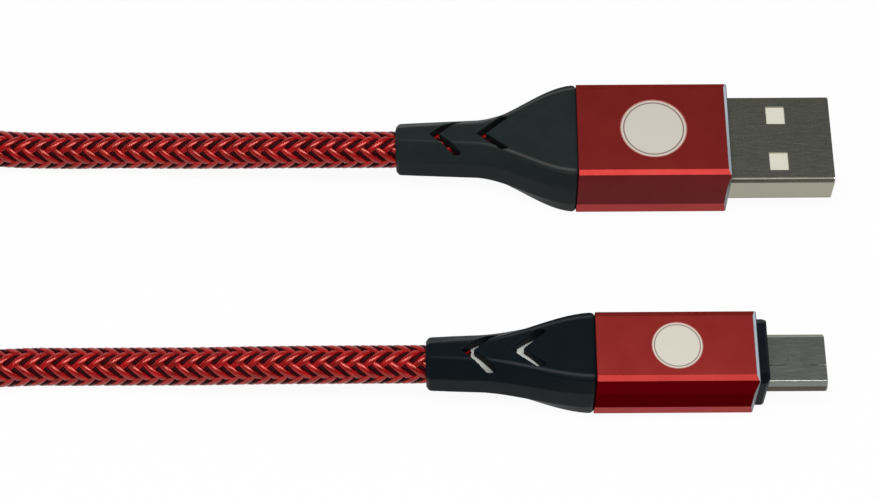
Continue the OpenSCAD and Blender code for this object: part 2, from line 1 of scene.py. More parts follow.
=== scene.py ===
# %% [markdown]
# # A braided charging cable with a USB-A plug and a micro-B plug
# The cable has two plugs, each with a steel shell, a red anodised aluminium housing and a black
# moulded boot, and a cord whose jacket is covered by a braid of red and black yarn.
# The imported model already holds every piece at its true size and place. This lesson dresses it:
# it gives each surface its finish, rounds the edges of the metal and plastic pieces, and makes
# anew the ones that need a finer shape: the braided cord, the boots and the tie.

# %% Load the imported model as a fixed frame
import math

import bmesh
import bpy
from mathutils import Matrix, Vector


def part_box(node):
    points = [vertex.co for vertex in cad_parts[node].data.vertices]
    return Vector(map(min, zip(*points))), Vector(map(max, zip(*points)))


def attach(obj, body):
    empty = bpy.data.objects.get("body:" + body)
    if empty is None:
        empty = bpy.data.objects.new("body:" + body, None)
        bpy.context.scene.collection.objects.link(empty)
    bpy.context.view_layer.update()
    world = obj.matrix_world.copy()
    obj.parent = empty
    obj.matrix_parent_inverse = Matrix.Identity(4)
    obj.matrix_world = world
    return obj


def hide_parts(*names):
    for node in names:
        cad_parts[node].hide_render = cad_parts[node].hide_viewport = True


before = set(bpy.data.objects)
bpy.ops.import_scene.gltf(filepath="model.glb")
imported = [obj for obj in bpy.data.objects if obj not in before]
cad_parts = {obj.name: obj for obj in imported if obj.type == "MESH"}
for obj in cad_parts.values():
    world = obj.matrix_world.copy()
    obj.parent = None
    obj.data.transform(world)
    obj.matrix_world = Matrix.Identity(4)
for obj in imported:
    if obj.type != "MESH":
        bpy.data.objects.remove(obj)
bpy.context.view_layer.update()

MM = 0.001


# %% New objects
def add_object(data, name=None):
    """Puts data into the scene as an object, under its own name unless another is given."""
    obj = bpy.data.objects.new(name or data.name, data)
    bpy.context.scene.collection.objects.link(obj)
    return obj


# %% [markdown]
# ## The camera
# The picture looks down on the two plugs from the front, at an angle that shows the tops and the
# narrow front sides of the housings. A camera is a point, a target and a lens. Here the
# target lies on the plugs, and the camera steps back from it along one slanting direction, so the
# whole view is set by a few numbers.

# %% Camera
VIEW_ELEVATION = math.radians(61.8)
VIEW_AZIMUTH = math.radians(-0.38)
VIEW_DISTANCE = 256.2 * MM
VIEW_TARGET = Vector((-16.78, -0.13, 4.0)) * MM
LENS = 87.83
SIDE_SHIFT = -0.043

toward_camera = Vector((math.sin(VIEW_AZIMUTH) * math.cos(VIEW_ELEVATION),
                        -math.cos(VIEW_AZIMUTH) * math.cos(VIEW_ELEVATION), math.sin(VIEW_ELEVATION)))
camera_data = bpy.data.cameras.new("camera")
camera_data.lens = LENS
camera_data.shift_x = SIDE_SHIFT
camera_data.clip_start = 1 * MM
camera = add_object(camera_data)
camera.location = VIEW_TARGET + toward_camera * VIEW_DISTANCE
camera.rotation_euler = (math.pi / 2 - VIEW_ELEVATION, 0, VIEW_AZIMUTH)
bpy.context.scene.camera = camera
bpy.context.scene.view_settings.view_transform = "Standard"
print("camera at, in mm", [round(c / MM, 1) for c in camera.location])

# %% [markdown]
# ## The cord's path
# A charging cable of this kind is about one metre long. It leaves each boot straight, sinks to the
# table, and its spare length is wound into a round coil of five and a half turns. The two free
# runs follow a few points, the same ones as in the model. The coil is a rule: the
# angle grows all the time, and at a few places the cord steps sideways to the next
# column of turns, or up on to the second layer. A smooth step keeps each of these moves gentle, so
# the turns lie beside and on each other and never cut through.

# %% The two free runs, in millimetres
RUN_USB_A = [
    (-13.5, 13.5, 4.7), (-20, 13.5, 4.7), (-26.5, 13.5, 4.7), (-33, 13.5, 4.7),
    (-40, 13.7, 4.4), (-47, 14.1, 3.7), (-54, 14.6, 2.9), (-61, 15, 2.4),
    (-68, 15.1, 2.2), (-76, 15.5, 2.2), (-83, 17.2, 2.2), (-90, 20.6, 2.3),
    (-97, 24.2, 2.5), (-104, 26.6, 2.7), (-109, 27.3, 2.7), (-114, 27.5, 2.7),
]
RUN_MICRO = [
    (-17.5, -15.5, 4.7), (-23, -15.5, 4.7), (-29, -15.5, 4.7), (-36, -15.4, 4.5),
    (-43, -15.1, 3.8), (-50, -14.8, 3), (-57, -14.5, 2.4), (-64, -14.4, 2.2),
    (-70, -14.4, 2.2), (-76, -15, 2.2), (-83, -17.6, 2.5), (-90, -22, 3.6),
    (-97, -25.9, 5.3), (-104, -27.4, 6.7), (-109, -27.5, 7.1), (-114, -27.5, 7.2),
]

# %% The coil as a rule
COIL_X = -114
COIL_OUTER_R = 27.5
TURN_PITCH = 4.5
COIL_LOW_Z = 2.7
COIL_TURNS = 5.5
POINTS_PER_TURN = 36
# Each move: the turns at which it starts and ends, and how many columns it goes
COLUMN_MOVES = [(0.8, 1.0, -1), (1.8, 2.0, -1), (3.38, 3.58, 1), (4.38, 4.58, 1)]
LAYER_MOVE = (2.58, 2.8)


def smooth_step(value, start, end):
    t = min(max((value - start) / (end - start), 0), 1)
    return t * t * (3 - 2 * t)


def coil_point(turn):
    columns = sum(way * smooth_step(turn, start, end) for start, end, way in COLUMN_MOVES)
    radius = COIL_OUTER_R + TURN_PITCH * columns
    height = COIL_LOW_Z + TURN_PITCH * smooth_step(turn, *LAYER_MOVE)
    angle = math.pi / 2 + math.tau * turn
    return (COIL_X + radius * math.cos(angle), radius * math.sin(angle), height)


coil_steps = round(COIL_TURNS * POINTS_PER_TURN)
coil_points = [coil_point(i / POINTS_PER_TURN) for i in range(1, coil_steps)]

# %% [markdown]
# A smooth curve through all the points comes from the Catmull-Rom rule: between two points
# it is a cubic whose direction at each point is taken from that point's neighbours. The result is
# walked along in even steps, because the braid later asks for places by their distance along it.

# %% One smooth line through all the points
PATH_SPACING = 1


def smooth_line(points, steps=12):
    line = []
    for i in range(len(points) - 1):
        before, a, b, after = (points[min(max(k, 0), len(points) - 1)] for k in range(i - 1, i + 3))
        for s in range(steps):
            t = s / steps
            line.append(0.5 * (2 * a + (b - before) * t + (2 * before - 5 * a + 4 * b - after) * t ** 2
                               + (3 * a - before - 3 * b + after) * t ** 3))
    return line + [points[-1]]


def distances(line):
    """How far along the line each of its points lies."""
    total = [0.0]
    for a, b in zip(line, line[1:]):
        total.append(total[-1] + (b - a).length)
    return total


def evenly(line, spacing):
    along = distances(line)
    count = round(along[-1] / spacing)
    result, k = [], 0
    for i in range(count + 1):
        want = along[-1] * i / count
        while k < len(along) - 2 and along[k + 1] < want:
            k += 1
        share = (want - along[k]) / (along[k + 1] - along[k])
        result.append(line[k].lerp(line[k + 1], share))
    return result


chosen = [Vector(p) for p in RUN_USB_A + coil_points + RUN_MICRO[::-1]]
cord_path = evenly(smooth_line(chosen), PATH_SPACING)
cord_length = distances(cord_path)[-1]
print("cord:", len(cord_path), "points,", round(cord_length, 1), "mm long")

# %% [markdown]
# ## Small helpers for node trees
# Materials and Geometry Nodes are both trees of nodes. Written out by hand, each link takes a line
# and the maths is hard to read. So one class wraps a socket and lets plain sums on it add
# the Math nodes, and one class holds a tree and adds any other node with its settings and inputs.
# A third is the tree of a shape: it adds its own named inputs and is put on an object to make a mesh.

# %% Wires and trees
def operator_for(operation, reflected=False):
    """A method that adds one Math node. In its reflected form the wire is the second input."""
    def method(self, other):
        return self.math(operation, *((other, self) if reflected else (self, other)))
    return method


class Wire:
    """One output of a node. Sums and products of wires add Math nodes to their tree."""

    def __init__(self, tree, socket):
        self.tree, self.socket = tree, socket

    def out(self, name):
        return Wire(self.tree, self.socket.node.outputs[name])

    def math(self, operation, first, second=0.0):
        return self.tree.node("ShaderNodeMath", {"operation": operation}, {0: first, 1: second})

    __add__, __radd__ = operator_for("ADD"), operator_for("ADD", True)
    __sub__, __rsub__ = operator_for("SUBTRACT"), operator_for("SUBTRACT", True)
    __mul__, __rmul__ = operator_for("MULTIPLY"), operator_for("MULTIPLY", True)
    __truediv__, __rtruediv__ = operator_for("DIVIDE"), operator_for("DIVIDE", True)
    __mod__ = operator_for("FLOORED_MODULO")
    __gt__, __lt__ = operator_for("GREATER_THAN"), operator_for("LESS_THAN")

    def apply(self, operation):
        return self.math(operation, self)


class Tree:
    """A node tree, and the one way in which nodes are added to it."""

    def __init__(self, nodes):
        self.tree = nodes

    def put(self, socket, value):
        if isinstance(value, Wire):
            self.tree.links.new(value.socket, socket)
        else:
            socket.default_value = value

    def node(self, kind, settings=None, inputs=None, output=0):
        made = self.tree.nodes.new(kind)
        for name, value in (settings or {}).items():
            setattr(made, name, value)
        for name, value in (inputs or {}).items():
            self.put(made.inputs[name], value)
        return Wire(self, made.outputs[output])

    def vector(self, operation, first, second=(0, 0, 0), output="Vector"):
        return self.node("ShaderNodeVectorMath", {"operation": operation}, {0: first, 1: second}, output)

    def stretched(self, vector, amount):
        return self.node("ShaderNodeVectorMath", {"operation": "SCALE"}, {0: vector, "Scale": amount})

    def parts(self, vector):
        split = self.node("ShaderNodeSeparateXYZ", None, {0: vector})
        return split.out("X"), split.out("Y"), split.out("Z")

    def joined(self, x, y, z):
        return self.node("ShaderNodeCombineXYZ", None, {0: x, 1: y, 2: z})

    def close(self, kind, result):
        """Adds the output node, which takes the tree's result."""
        self.put(self.tree.nodes.new(kind).inputs[0], result)


class ShapeTree(Tree):
    """A Geometry Nodes tree with named inputs. The one called Given is the object's own shape."""

    def __init__(self, name, kinds):
        super().__init__(bpy.data.node_groups.new(name, "GeometryNodeTree"))
        add = self.tree.interface.new_socket
        sockets = {label: add(label, in_out="INPUT", socket_type="NodeSocket" + kind)
                   for label, kind in {"Given": "Geometry", **kinds}.items()}
        add("Shape", in_out="OUTPUT", socket_type="NodeSocketGeometry")
        self.identifiers = {label: socket.identifier for label, socket in sockets.items()}
        given = self.tree.nodes.new("NodeGroupInput")
        self.size = {label: Wire(self, given.outputs[label]) for label in sockets}

    def mesh_from(self, obj, values, name):
        """The plain mesh that the tree makes of an object with these inputs."""
        modifier = obj.modifiers.new(name, "NODES")
        modifier.node_group = self.tree
        for label, value in values.items():
            modifier[self.identifiers[label]] = value
        return applied(obj, name)


def kinds_of(values):
    """The kind of socket that each of the values needs."""
    return {label: "Int" if isinstance(value, int) else "Float" for label, value in values.items()}


# %% [markdown]
# ## The braid, by Geometry Nodes
# The sleeve on the cord is a regular braid made on a machine with 16 carriers. Eight turn one way
# round the cord and eight the other way, and each carrier lays two ends of yarn side by side, one
# red and one black. On such a machine the tracks cross at fixed places round the cord, so a
# carrier goes over two others and then under two, always at the same angles. That makes the eight
# straight columns of slanting stitches, leaning one way and then the other.
#
# A texture could only paint this, and a twisted array would not follow the bends. Here
# every yarn is a real curve: a point's angle grows with its distance along the cord, its height
# above the jacket follows a wave of that angle, and the cord's own curve says where it
# is. A small flattened ring swept along each curve gives it body.

# %% Sizes of the braid, in millimetres
CARRIERS = 16
BRAID_LAY = 15.2
YARN_W = 0.80
YARN_T = 0.36
BLACK_SHARE = 0.52
YARN_MID_R = 2.0
YARN_WAVE = 0.13
FLOAT_SHARPNESS = 1.6
RED_OFFSET = 0.22
BLACK_OFFSET = 0.42
JACKET_R = 1.65
yarn_angle = math.atan(math.tau * YARN_MID_R / BRAID_LAY)
# The seam between two columns that faces up and forward at each end of the cord, in degrees
SEAM_AT_USB_A = 121.5
SEAM_AT_MICRO = 65.8
QUARTER_COLUMN = 22.5
crest_start = math.radians(SEAM_AT_USB_A - QUARTER_COLUMN)
crest_end = math.radians(SEAM_AT_MICRO + QUARTER_COLUMN)
print("yarns lie at", round(math.degrees(yarn_angle), 1), "degrees to the cord")

# %% The tree that lays the yarns
# The sizes that all stretches share, then the kinds of what each stretch has of its own
BRAID_SIZES = {
    "Carriers": CARRIERS, "Lay": BRAID_LAY * MM, "Middle Radius": YARN_MID_R * MM,
    "Wave": YARN_WAVE * MM, "Yarn Angle": yarn_angle, "Red Offset": RED_OFFSET * MM,
    "Black Offset": BLACK_OFFSET * MM, "Black Share": BLACK_SHARE, "Width": YARN_W * MM,
    "Thickness": YARN_T * MM, "Crest Angle": crest_start,
    "Crest Drift": (crest_end - crest_start) / (cord_length * MM), "Sharpness": FLOAT_SHARPNESS,
}
STRETCH_KINDS = {"Start": "Float", "End": "Float", "Steps": "Int", "Sides": "Int", "Red Side": "Float"}
# Keeps a whole number that is stored a hair too small from being rounded down to the one below
WHOLE = 0.0001


def braid_tree(red, black):
    tree = ShapeTree("braid", {**STRETCH_KINDS, **kinds_of(BRAID_SIZES)})
    size = tree.size

    # Which yarn a point belongs to, and how far along the cord it is
    index = tree.node("GeometryNodeInputIndex")
    yarn = (index / size["Steps"] + WHOLE).apply("FLOOR")
    step = index - yarn * size["Steps"]
    along = size["Start"] + (size["End"] - size["Start"]) * step / (size["Steps"] - 1)
    carrier = (yarn / 2 + WHOLE).apply("FLOOR")
    black_end = yarn % 2
    apart = size["Red Offset"] + size["Black Offset"]
    offset = (black_end * apart - size["Red Offset"]) * size["Red Side"]
    way = (carrier % 2) * 2 - 1
    place = (carrier / 2 + WHOLE).apply("FLOOR")

    # Its angle round the cord, moved sideways to its place in the pair
    crest = size["Crest Angle"] + size["Crest Drift"] * along
    step_angle = 2 * math.tau / size["Carriers"]
    angle = way * along * math.tau / size["Lay"] + step_angle * (place + 0.25) + crest
    angle = angle + way * offset * size["Yarn Angle"].apply("COSINE") / size["Middle Radius"]
    along = along - offset * size["Yarn Angle"].apply("SINE")

    # Its height, from a wave with flattened tops
    wave = ((angle - crest) * size["Carriers"] / 4).apply("COSINE")
    flat_wave = (wave * size["Sharpness"]).apply("TANH") / size["Sharpness"].apply("TANH")
    radius = size["Middle Radius"] + way * size["Wave"] * flat_wave

    # The cord's own place and direction there
    sample = tree.node("GeometryNodeSampleCurve", {"mode": "LENGTH", "use_all_curves": True},
                       {"Curves": size["Given"], "Length": along}, "Position")
    tangent = sample.out("Tangent")
    sideways = tree.vector("NORMALIZE", tree.vector("CROSS_PRODUCT", tangent, (0, 0, 1)))
    upward = tree.vector("CROSS_PRODUCT", sideways, tangent)
    outward = tree.vector("ADD", tree.stretched(sideways, angle.apply("COSINE")),
                          tree.stretched(upward, angle.apply("SINE")))
    position = tree.vector("ADD", sample, tree.stretched(outward, radius))

    # Points, then one curve for each yarn, whose face looks outwards
    cloud = tree.node("GeometryNodePoints", None,
                      {"Count": size["Carriers"] * 2 * size["Steps"], "Position": position})
    for name, kind, value in (("outward", "FLOAT_VECTOR", outward), ("along", "FLOAT", along),
                              ("black_end", "FLOAT", black_end)):
        cloud = tree.node("GeometryNodeStoreNamedAttribute", {"data_type": kind, "domain": "POINT"},
                          {"Geometry": cloud, "Name": name, "Value": value})
    yarns = tree.node("GeometryNodePointsToCurves", None,
                      {"Points": cloud, "Curve Group ID": yarn, "Weight": step})
    facing = tree.node("GeometryNodeInputNamedAttribute", {"data_type": "FLOAT_VECTOR"},
                       {"Name": "outward"})
    yarns = tree.node("GeometryNodeSetCurveNormal", {"mode": "FREE"}, {"Curve": yarns, "Normal": facing})

    # A flattened ring swept along each of them, its start turned towards the jacket
    ring = tree.node("GeometryNodeCurvePrimitiveCircle", None, {"Resolution": size["Sides"], "Radius": 0.5})
    ring = tree.node("GeometryNodeTransform", None, {
        "Geometry": ring, "Rotation": (0, 0, math.pi),
        "Scale": tree.joined(size["Thickness"], size["Width"], 1.0)})
    around = tree.node("GeometryNodeSplineParameter")
    ring = tree.node("GeometryNodeStoreNamedAttribute", {"data_type": "FLOAT", "domain": "POINT"},
                     {"Geometry": ring, "Name": "around", "Value": around})
    is_black = tree.node("GeometryNodeInputNamedAttribute", {"data_type": "FLOAT"}, {"Name": "black_end"})
    mesh = tree.node("GeometryNodeCurveToMesh", None, {
        "Curve": yarns, "Profile Curve": ring, "Fill Caps": True,
        "Scale": 1 - is_black * (1 - size["Black Share"])})
    mesh = tree.node("GeometryNodeSetShadeSmooth", {"domain": "FACE"}, {"Geometry": mesh})
    mesh = tree.node("GeometryNodeRealizeInstances", None, {"Geometry": mesh})
    mesh = tree.node("GeometryNodeSetMaterial", None, {"Geometry": mesh, "Material": red})
    mesh = tree.node("GeometryNodeSetMaterial", None,
                     {"Geometry": mesh, "Selection": is_black > 0.5, "Material": black})
    tree.close("NodeGroupOutput", mesh)
    return tree


# %% [markdown]
# ## Finishes
# Each material below is a Principled shader. What is the same all over a surface is set on the
# shader itself, and only colour, roughness and bump vary, read from Object coordinates in
# millimetres or from the yarns' own attributes, so every pattern stays on its piece.

# %% A finish and its usual patterns
class Finish(Tree):
    """A material with one Principled shader."""

    def __init__(self, name, constants):
        self.material = bpy.data.materials.new(name)
        self.material.use_nodes = True
        super().__init__(self.material.node_tree)
        self.shader = self.tree.nodes["Principled BSDF"]
        self.set(constants)

    def set(self, values):
        for name, value in values.items():
            if isinstance(value, tuple):
                value = (*value, 1)
            self.put(self.shader.inputs[name], value)

    def place(self):
        """The point on the piece, in millimetres."""
        coordinates = self.node("ShaderNodeTexCoord", None, None, "Object")
        return self.stretched(coordinates, 1 / MM)

    def noise(self, vector, scale, detail=2.0, roughness=0.5):
        """Noise from 0 to 1 with grains about 1 / scale millimetres wide."""
        return self.node("ShaderNodeTexNoise", None, {
            "Vector": vector, "Scale": scale, "Detail": detail, "Roughness": roughness}, "Fac")

    def streaks(self, vector, scale, detail=2.0):
        """Noise that is drawn out by a scale of its own along X, Y and Z."""
        drawn_out = self.node("ShaderNodeMapping", None, {"Vector": vector, "Scale": scale})
        return self.noise(drawn_out, 1.0, detail)

    def stripes(self, count):
        """Soft stripes from 0 to 1, one for each whole step of a growing number."""
        return (count * math.tau).apply("SINE") * 0.5 + 0.5

    def attribute(self, name):
        """A number that was left on the mesh."""
        return self.node("ShaderNodeAttribute", {"attribute_name": name}, None, "Fac")

    def mix(self, share, first, second):
        """A colour between two others."""
        first, second = ((*c, 1) if isinstance(c, tuple) else c for c in (first, second))
        return self.node("ShaderNodeMix", {"data_type": "RGBA"}, {0: share, 6: first, 7: second}, 2)

    def bump(self, height, depth_mm, strength=1.0):
        self.set({"Normal": self.node("ShaderNodeBump", None, {
            "Height": height, "Distance": depth_mm * MM, "Strength": strength})})


# %% [markdown]
# ** Yarn.** Each end is a bundle of fine polyester filaments with a soft shine, which the red dye
# tints. The dark end is a black with a little red in it, painted red light that bounces off the red
# yarns. The filaments show as thin lines that wind along the yarn. Two attributes that the braid's
# tree leaves on the mesh, the distance along the cord and the place round the yarn, carry that
# pattern, so it follows every bend.

# %% Yarn
FILAMENTS = 14
FILAMENT_TURNS_PER_MM = 0.9
LINE_SHARE = 0.4
PATCH_CONTRAST = 2.6


def yarn_finish(name, light, dark, roughness, ior, tint):
    finish = Finish(name, {"IOR": ior, "Specular Tint": tint})
    wound = finish.attribute("along") * (FILAMENT_TURNS_PER_MM / MM)
    lines = finish.stripes(finish.attribute("around") * FILAMENTS + wound)
    patches = finish.noise(finish.place(), 1.2)
    uneven = patches * PATCH_CONTRAST + (1 - PATCH_CONTRAST) / 2
    finish.set({"Base Color": finish.mix(lines * LINE_SHARE + uneven * (1 - LINE_SHARE), dark, light),
                "Roughness": roughness + 0.08 * patches})
    finish.bump(lines, 0.004)
    return finish.material


red_yarn = yarn_finish("red_yarn", (0.45, 0.002, 0.004), (0.08, 0.001, 0.002), 0.22, 1.9,
                       (1.0, 0.32, 0.26))
# The black end's little red is painted light bounced off the red yarns
black_yarn = yarn_finish("black_yarn", (0.028, 0.002, 0.004), (0.013, 0.001, 0.002), 0.4, 1.12,
                         (1.0, 1.0, 1.0))

# %% Soft black jacket under the braid
jacket_finish = Finish("black_jacket", {"Base Color": (0.015, 0.014, 0.015)})
jacket_grain = jacket_finish.noise(jacket_finish.place(), 3.0)
jacket_finish.set({"Roughness": 0.5 + 0.2 * jacket_grain})
black_jacket = jacket_finish.material

# %% [markdown]
# ## The jacket and the braid on it
# The jacket is a plain round tube along the whole path. The
# braid is laid on it in four stretches. The two free runs get fine steps and eight-sided yarns, and
# the coil, which lies farther away, gets coarser ones, so no piece grows too heavy. The coil's two
# stretches meet under the tie.

# %% Plain helpers for pieces
def piece_from(name, mesh, body="cable", slot=None, replaced=()):
    """A shown piece with its mesh in place, riding on a body."""
    obj = add_object(mesh, name)
    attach(obj, body)
    if replaced:
        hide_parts(*replaced)
    return obj


def applied(obj, name):
    """The plain mesh that an object's modifiers make, and the object itself removed."""
    graph = bpy.context.evaluated_depsgraph_get()
    mesh = bpy.data.meshes.new_from_object(obj.evaluated_get(graph), depsgraph=graph)
    mesh.name = name
    bpy.data.objects.remove(obj)
    return mesh


def triangles(mesh):
    return sum(len(p.vertices) - 2 for p in mesh.polygons)


# %% The path as a curve that Geometry Nodes can follow
def curve_object(name, line):
    curve = bpy.data.curves.new(name, "CURVE")
    curve.dimensions = "3D"
    spline = curve.splines.new("POLY")
    spline.points.add(len(line) - 1)
    for point, place in zip(spline.points, line):
        point.co = (*(place * MM), 1)
    return add_object(curve, name)


# %% Meshes from points and faces, and a closed one through rings of points
def plain_mesh(name, verts, faces):
    mesh = bpy.data.meshes.new(name)
    mesh.from_pydata(verts, [], faces)
    return mesh


def skin_mesh(name, rings, clockwise=True):
    """A closed mesh through rings. Its faces look outwards if the rings run the way that clockwise
    says, as seen from the last ring, and inwards if they run the other way."""
    count = len(rings[0])
    verts = [point for ring in rings for point in ring]
    faces = []
    for i in range(len(rings) - 1):
        for k in range(count):
            a, b = i * count + k, i * count + (k + 1) % count
            faces.append((a, a + count, b + count, b) if clockwise else (a, b, b + count, a + count))
    first, last = tuple(range(count)), tuple(range(len(verts) - count, len(verts)))
    faces += [first, last[::-1]] if clockwise else [first[::-1], last]
    return plain_mesh(name, verts, faces)


def heading(line, i):
    """The direction of a line at one of its points."""
    return (line[min(i + 1, len(line) - 1)] - line[max(i - 1, 0)]).normalized()


# %% The jacket
JACKET_SIDES = 12


def tube_ring(line, i):
    """A circle of points across one point of a line, clockwise as seen from its far end."""
    ahead = heading(line, i)
    sideways = ahead.cross(Vector((0, 0, 1))).normalized()
    upward = sideways.cross(ahead)
    angles = [math.tau * k / JACKET_SIDES for k in range(JACKET_SIDES)]
    return [(line[i] + JACKET_R * (math.cos(a) * sideways + math.sin(a) * upward)) * MM for a in angles]


# The rings do run clockwise, so the faces of the jacket look inwards
jacket_rings = [tube_ring(cord_path, i) for i in range(len(cord_path))]
jacket_mesh = skin_mesh("cord_jacket", jacket_rings, clockwise=False)
jacket_mesh.shade_smooth()
jacket_mesh.materials.append(black_jacket)
jacket = piece_from("cord_jacket", jacket_mesh, slot="red_braid",
                    replaced=("cord_run_usb_a", "cord_run_micro", "cord_coil"))

# %% The braid, stretch by stretch
RUN_STEP = 0.4
COIL_STEP = 0.66
RUN_SIDES = 8
COIL_SIDES = 4
# The turn that lies under the tie
TIE_TURN = 2.25


def distance_to(turn):
    """How far along the cord a place in the coil lies."""
    wanted = Vector(coil_point(turn))
    nearest = min(range(len(cord_path)), key=lambda i: (cord_path[i] - wanted).length)
    return cord_length * nearest / (len(cord_path) - 1)


coil_start = distance_to(0)
coil_middle = distance_to(TIE_TURN)
coil_end = distance_to(COIL_TURNS)
STRETCHES = {
    "braid_run_usb_a": (0, coil_start, RUN_STEP, RUN_SIDES, 1),
    "braid_coil_lower": (coil_start, coil_middle, COIL_STEP, COIL_SIDES, 1),
    "braid_coil_upper": (coil_middle, coil_end, COIL_STEP, COIL_SIDES, -1),
    "braid_run_micro": (coil_end, cord_length, RUN_STEP, RUN_SIDES, -1),
}
braid = braid_tree(red_yarn, black_yarn)


def braid_stretch(name, start, end, step, sides, red_side):
    own = {"Start": start * MM, "End": end * MM, "Steps": round((end - start) / step) + 1,
           "Sides": sides, "Red Side": float(red_side)}
    mesh = braid.mesh_from(curve_object(name, cord_path), {**own, **BRAID_SIZES}, name)
    print(name, triangles(mesh), "triangles")
    return piece_from(name, mesh, slot="red_braid")


braids = [braid_stretch(name, *facts) for name, facts in STRETCHES.items()]

# %% [markdown]
# ## Where the two plugs lie
# Both plugs point along X. The rear end of each housing and its centre line are read from
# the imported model, so what is made below sits where the model says. The sizes that set the shape
# of the boots are the same ones as in the model.

# %% The two plugs, in millimetres
def plug_place(housing):
    low, high = (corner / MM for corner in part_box(housing))
    return Vector((low.x, (low.y + high.y) / 2, (low.z + high.z) / 2)), high - low


usb_a_place, usb_a_size = plug_place("usb_a_housing")
micro_place, micro_size = plug_place("micro_housing")
usb_a_tip, micro_tip = (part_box(shell)[1].x / MM for shell in ("usb_a_shell", "micro_shell"))
print("USB-A housing at", [round(v, 2) for v in usb_a_place], "size", [round(v, 2) for v in usb_a_size])
print("micro-B housing at", [round(v, 2) for v in micro_place], "size", [round(v, 2) for v in micro_size])
print("tips at x", round(usb_a_tip, 2), "and", round(micro_tip, 2))

# %% [markdown]
# ## The boots
# A boot is moulded in soft black plastic over the end of the cord. It starts as a faceted
# collar and flares out to the housing's own outline, and two chevron slots on each side let it bend
# with the cord. The braid, and on the micro-B plug the pale inner mould, show through them.
#
# It is made the way a mould would be: a loft of rounded outlines along the cord, minus a bore and
# minus the slots. A fine voxel remesh and a little smoothing then round every edge by about
# the same small radius, as a mould's edges are, which bevels on such crossing cuts seldom manage.

# %% Outlines of the boot
COLLAR_W, COLLAR_H = 5.3, 7.4
COLLAR_FLAT, COLLAR_SIDE = 1.7, 3.4
COLLAR_CORNER_SHARE = 0.12
COLLAR_CHAMFER = 0.45
SIDE_DRAFT = (0.4, 2.6)
TOP_BEVEL = (0.65, 0.25)
# The largest share of a side that a corner's curve may take up
CURVE_SHARE = 0.45


def blend(a, b, t):
    return a + (b - a) * t


def collar_corner():
    flat, side = Vector((COLLAR_FLAT, COLLAR_H)) / 2, Vector((COLLAR_W, COLLAR_SIDE)) / 2
    return [flat, flat.lerp(side, COLLAR_CORNER_SHARE), side]


def housing_corner(width, height):
    leaning = width / 2 - SIDE_DRAFT[0]
    return [Vector((leaning - TOP_BEVEL[0], height / 2)), Vector((leaning, height / 2 - TOP_BEVEL[1])),
            Vector((width / 2, height / 2 - TOP_BEVEL[1] - SIDE_DRAFT[1]))]


def four_way(quarter):
    """A whole outline from the points of its upper right quarter, clockwise."""
    back = quarter[::-1]
    return (quarter + [Vector((p.x, -p.y)) for p in back] + [-p for p in quarter]
            + [Vector((-p.x, p.y)) for p in back])


def round_corners(outline, radius, steps):
    """The outline with a small curve in place of each corner."""
    result = []
    for i, corner in enumerate(outline):
        before, after = outline[i - 1] - corner, outline[(i + 1) % len(outline)] - corner
        start = corner + before.normalized() * min(radius, before.length * CURVE_SHARE)
        end = corner + after.normalized() * min(radius, after.length * CURVE_SHARE)
        for s in range(steps + 1):
            t = s / steps
            result.append(start * (1 - t) ** 2 + corner * (2 * t * (1 - t)) + end * t ** 2)
    return result


# %% The cuts: a bore for the cord and chevron slots
SLOTS = 2
SLOT_START, SLOT_PITCH = 4.1, 5.7
SLOT_SLOPE = 1.3
SLOT_MARGIN, SLOT_FLOOR = 0.35, 0.8
LOWER_SLOT_SHIFT = -0.4
BORE_R = 2.2
NOSE_R, NOSE_START = 2.7, -9
OVERSHOOT = 1


def across(x, outline):
    """An outline stood across the cord at a place along it."""
    return [(x, p.x, p.y) for p in outline]


def circle(radius, sides=48):
    return [Vector((radius * math.cos(math.tau * k / sides), -radius * math.sin(math.tau * k / sides)))
            for k in range(sides)]


def chevron(x, slot_w, upper):
    reach = COLLAR_W / 2 - SLOT_MARGIN
    arm = reach * SLOT_SLOPE
    outline = [(0, 0), (arm, -reach), (arm + slot_w, -reach), (slot_w, 0), (arm + slot_w, reach),
               (arm, reach)]
    low, high = (SLOT_FLOOR, COLLAR_H) if upper else (-COLLAR_H, -SLOT_FLOOR)
    rings = [[(x + px, py, z) for px, py in outline] for z in (low, high)]
    return skin_mesh("chevron", rings, clockwise=False)


def cut_by(obj, meshes):
    """Cuts meshes out of an object, one exact Boolean each, and returns the object again."""
    cutters = [add_object(mesh) for mesh in meshes]
    for cutter in cutters:
        modifier = obj.modifiers.new("cut", "BOOLEAN")
        modifier.operation, modifier.solver, modifier.object = "DIFFERENCE", "EXACT", cutter
    result = add_object(applied(obj, obj.name))
    for cutter in cutters:
        bpy.data.objects.remove(cutter)
    return result


# %% A whole boot
BOOT_EDGE_R = 0.1
BOOT_CORNER_STEPS = 3
BOOT_RINGS = 44
# The bevels at both ends, as shares of their length and of their depth
COLLAR_BEVEL = [(0, 1), (0.5, 0.35), (1, 0)]
RIM_BEVEL = [(0.45, 0.25), (0, 1)]
RIM_L, RIM_DEPTH = 0.5, 0.3
NECK_WIDENING = 0.1
BOOT_VOXEL = 0.13
# How strongly the new surface is smoothed, and how often
BOOT_SMOOTHING = (0.5, 1)
# How far the painted highlight reaches from the long edges, and how fast it grows along the flare
CREASE_REACH = 0.24
CREASE_GROWTH = 3


def flare(share, neck):
    """How far the boot has widened from collar to housing at a share of its length."""
    if share < neck:
        return NECK_WIDENING * share / neck
    return NECK_WIDENING + (1 - NECK_WIDENING) * smooth_step(share, neck, 1)


def boot_outline(widened, size, inset):
    collar, front = collar_corner(), housing_corner(size.y, size.z)
    quarter = [a.lerp(b, widened) for a, b in zip(collar, front)]
    half_w = blend(COLLAR_W, size.y, widened) / 2
    outline = [Vector((p.x * (1 - inset / half_w), p.y * (1 - inset / (size.z / 2))))
               for p in four_way(quarter)]
    return round_corners(outline, BOOT_EDGE_R, BOOT_CORNER_STEPS)


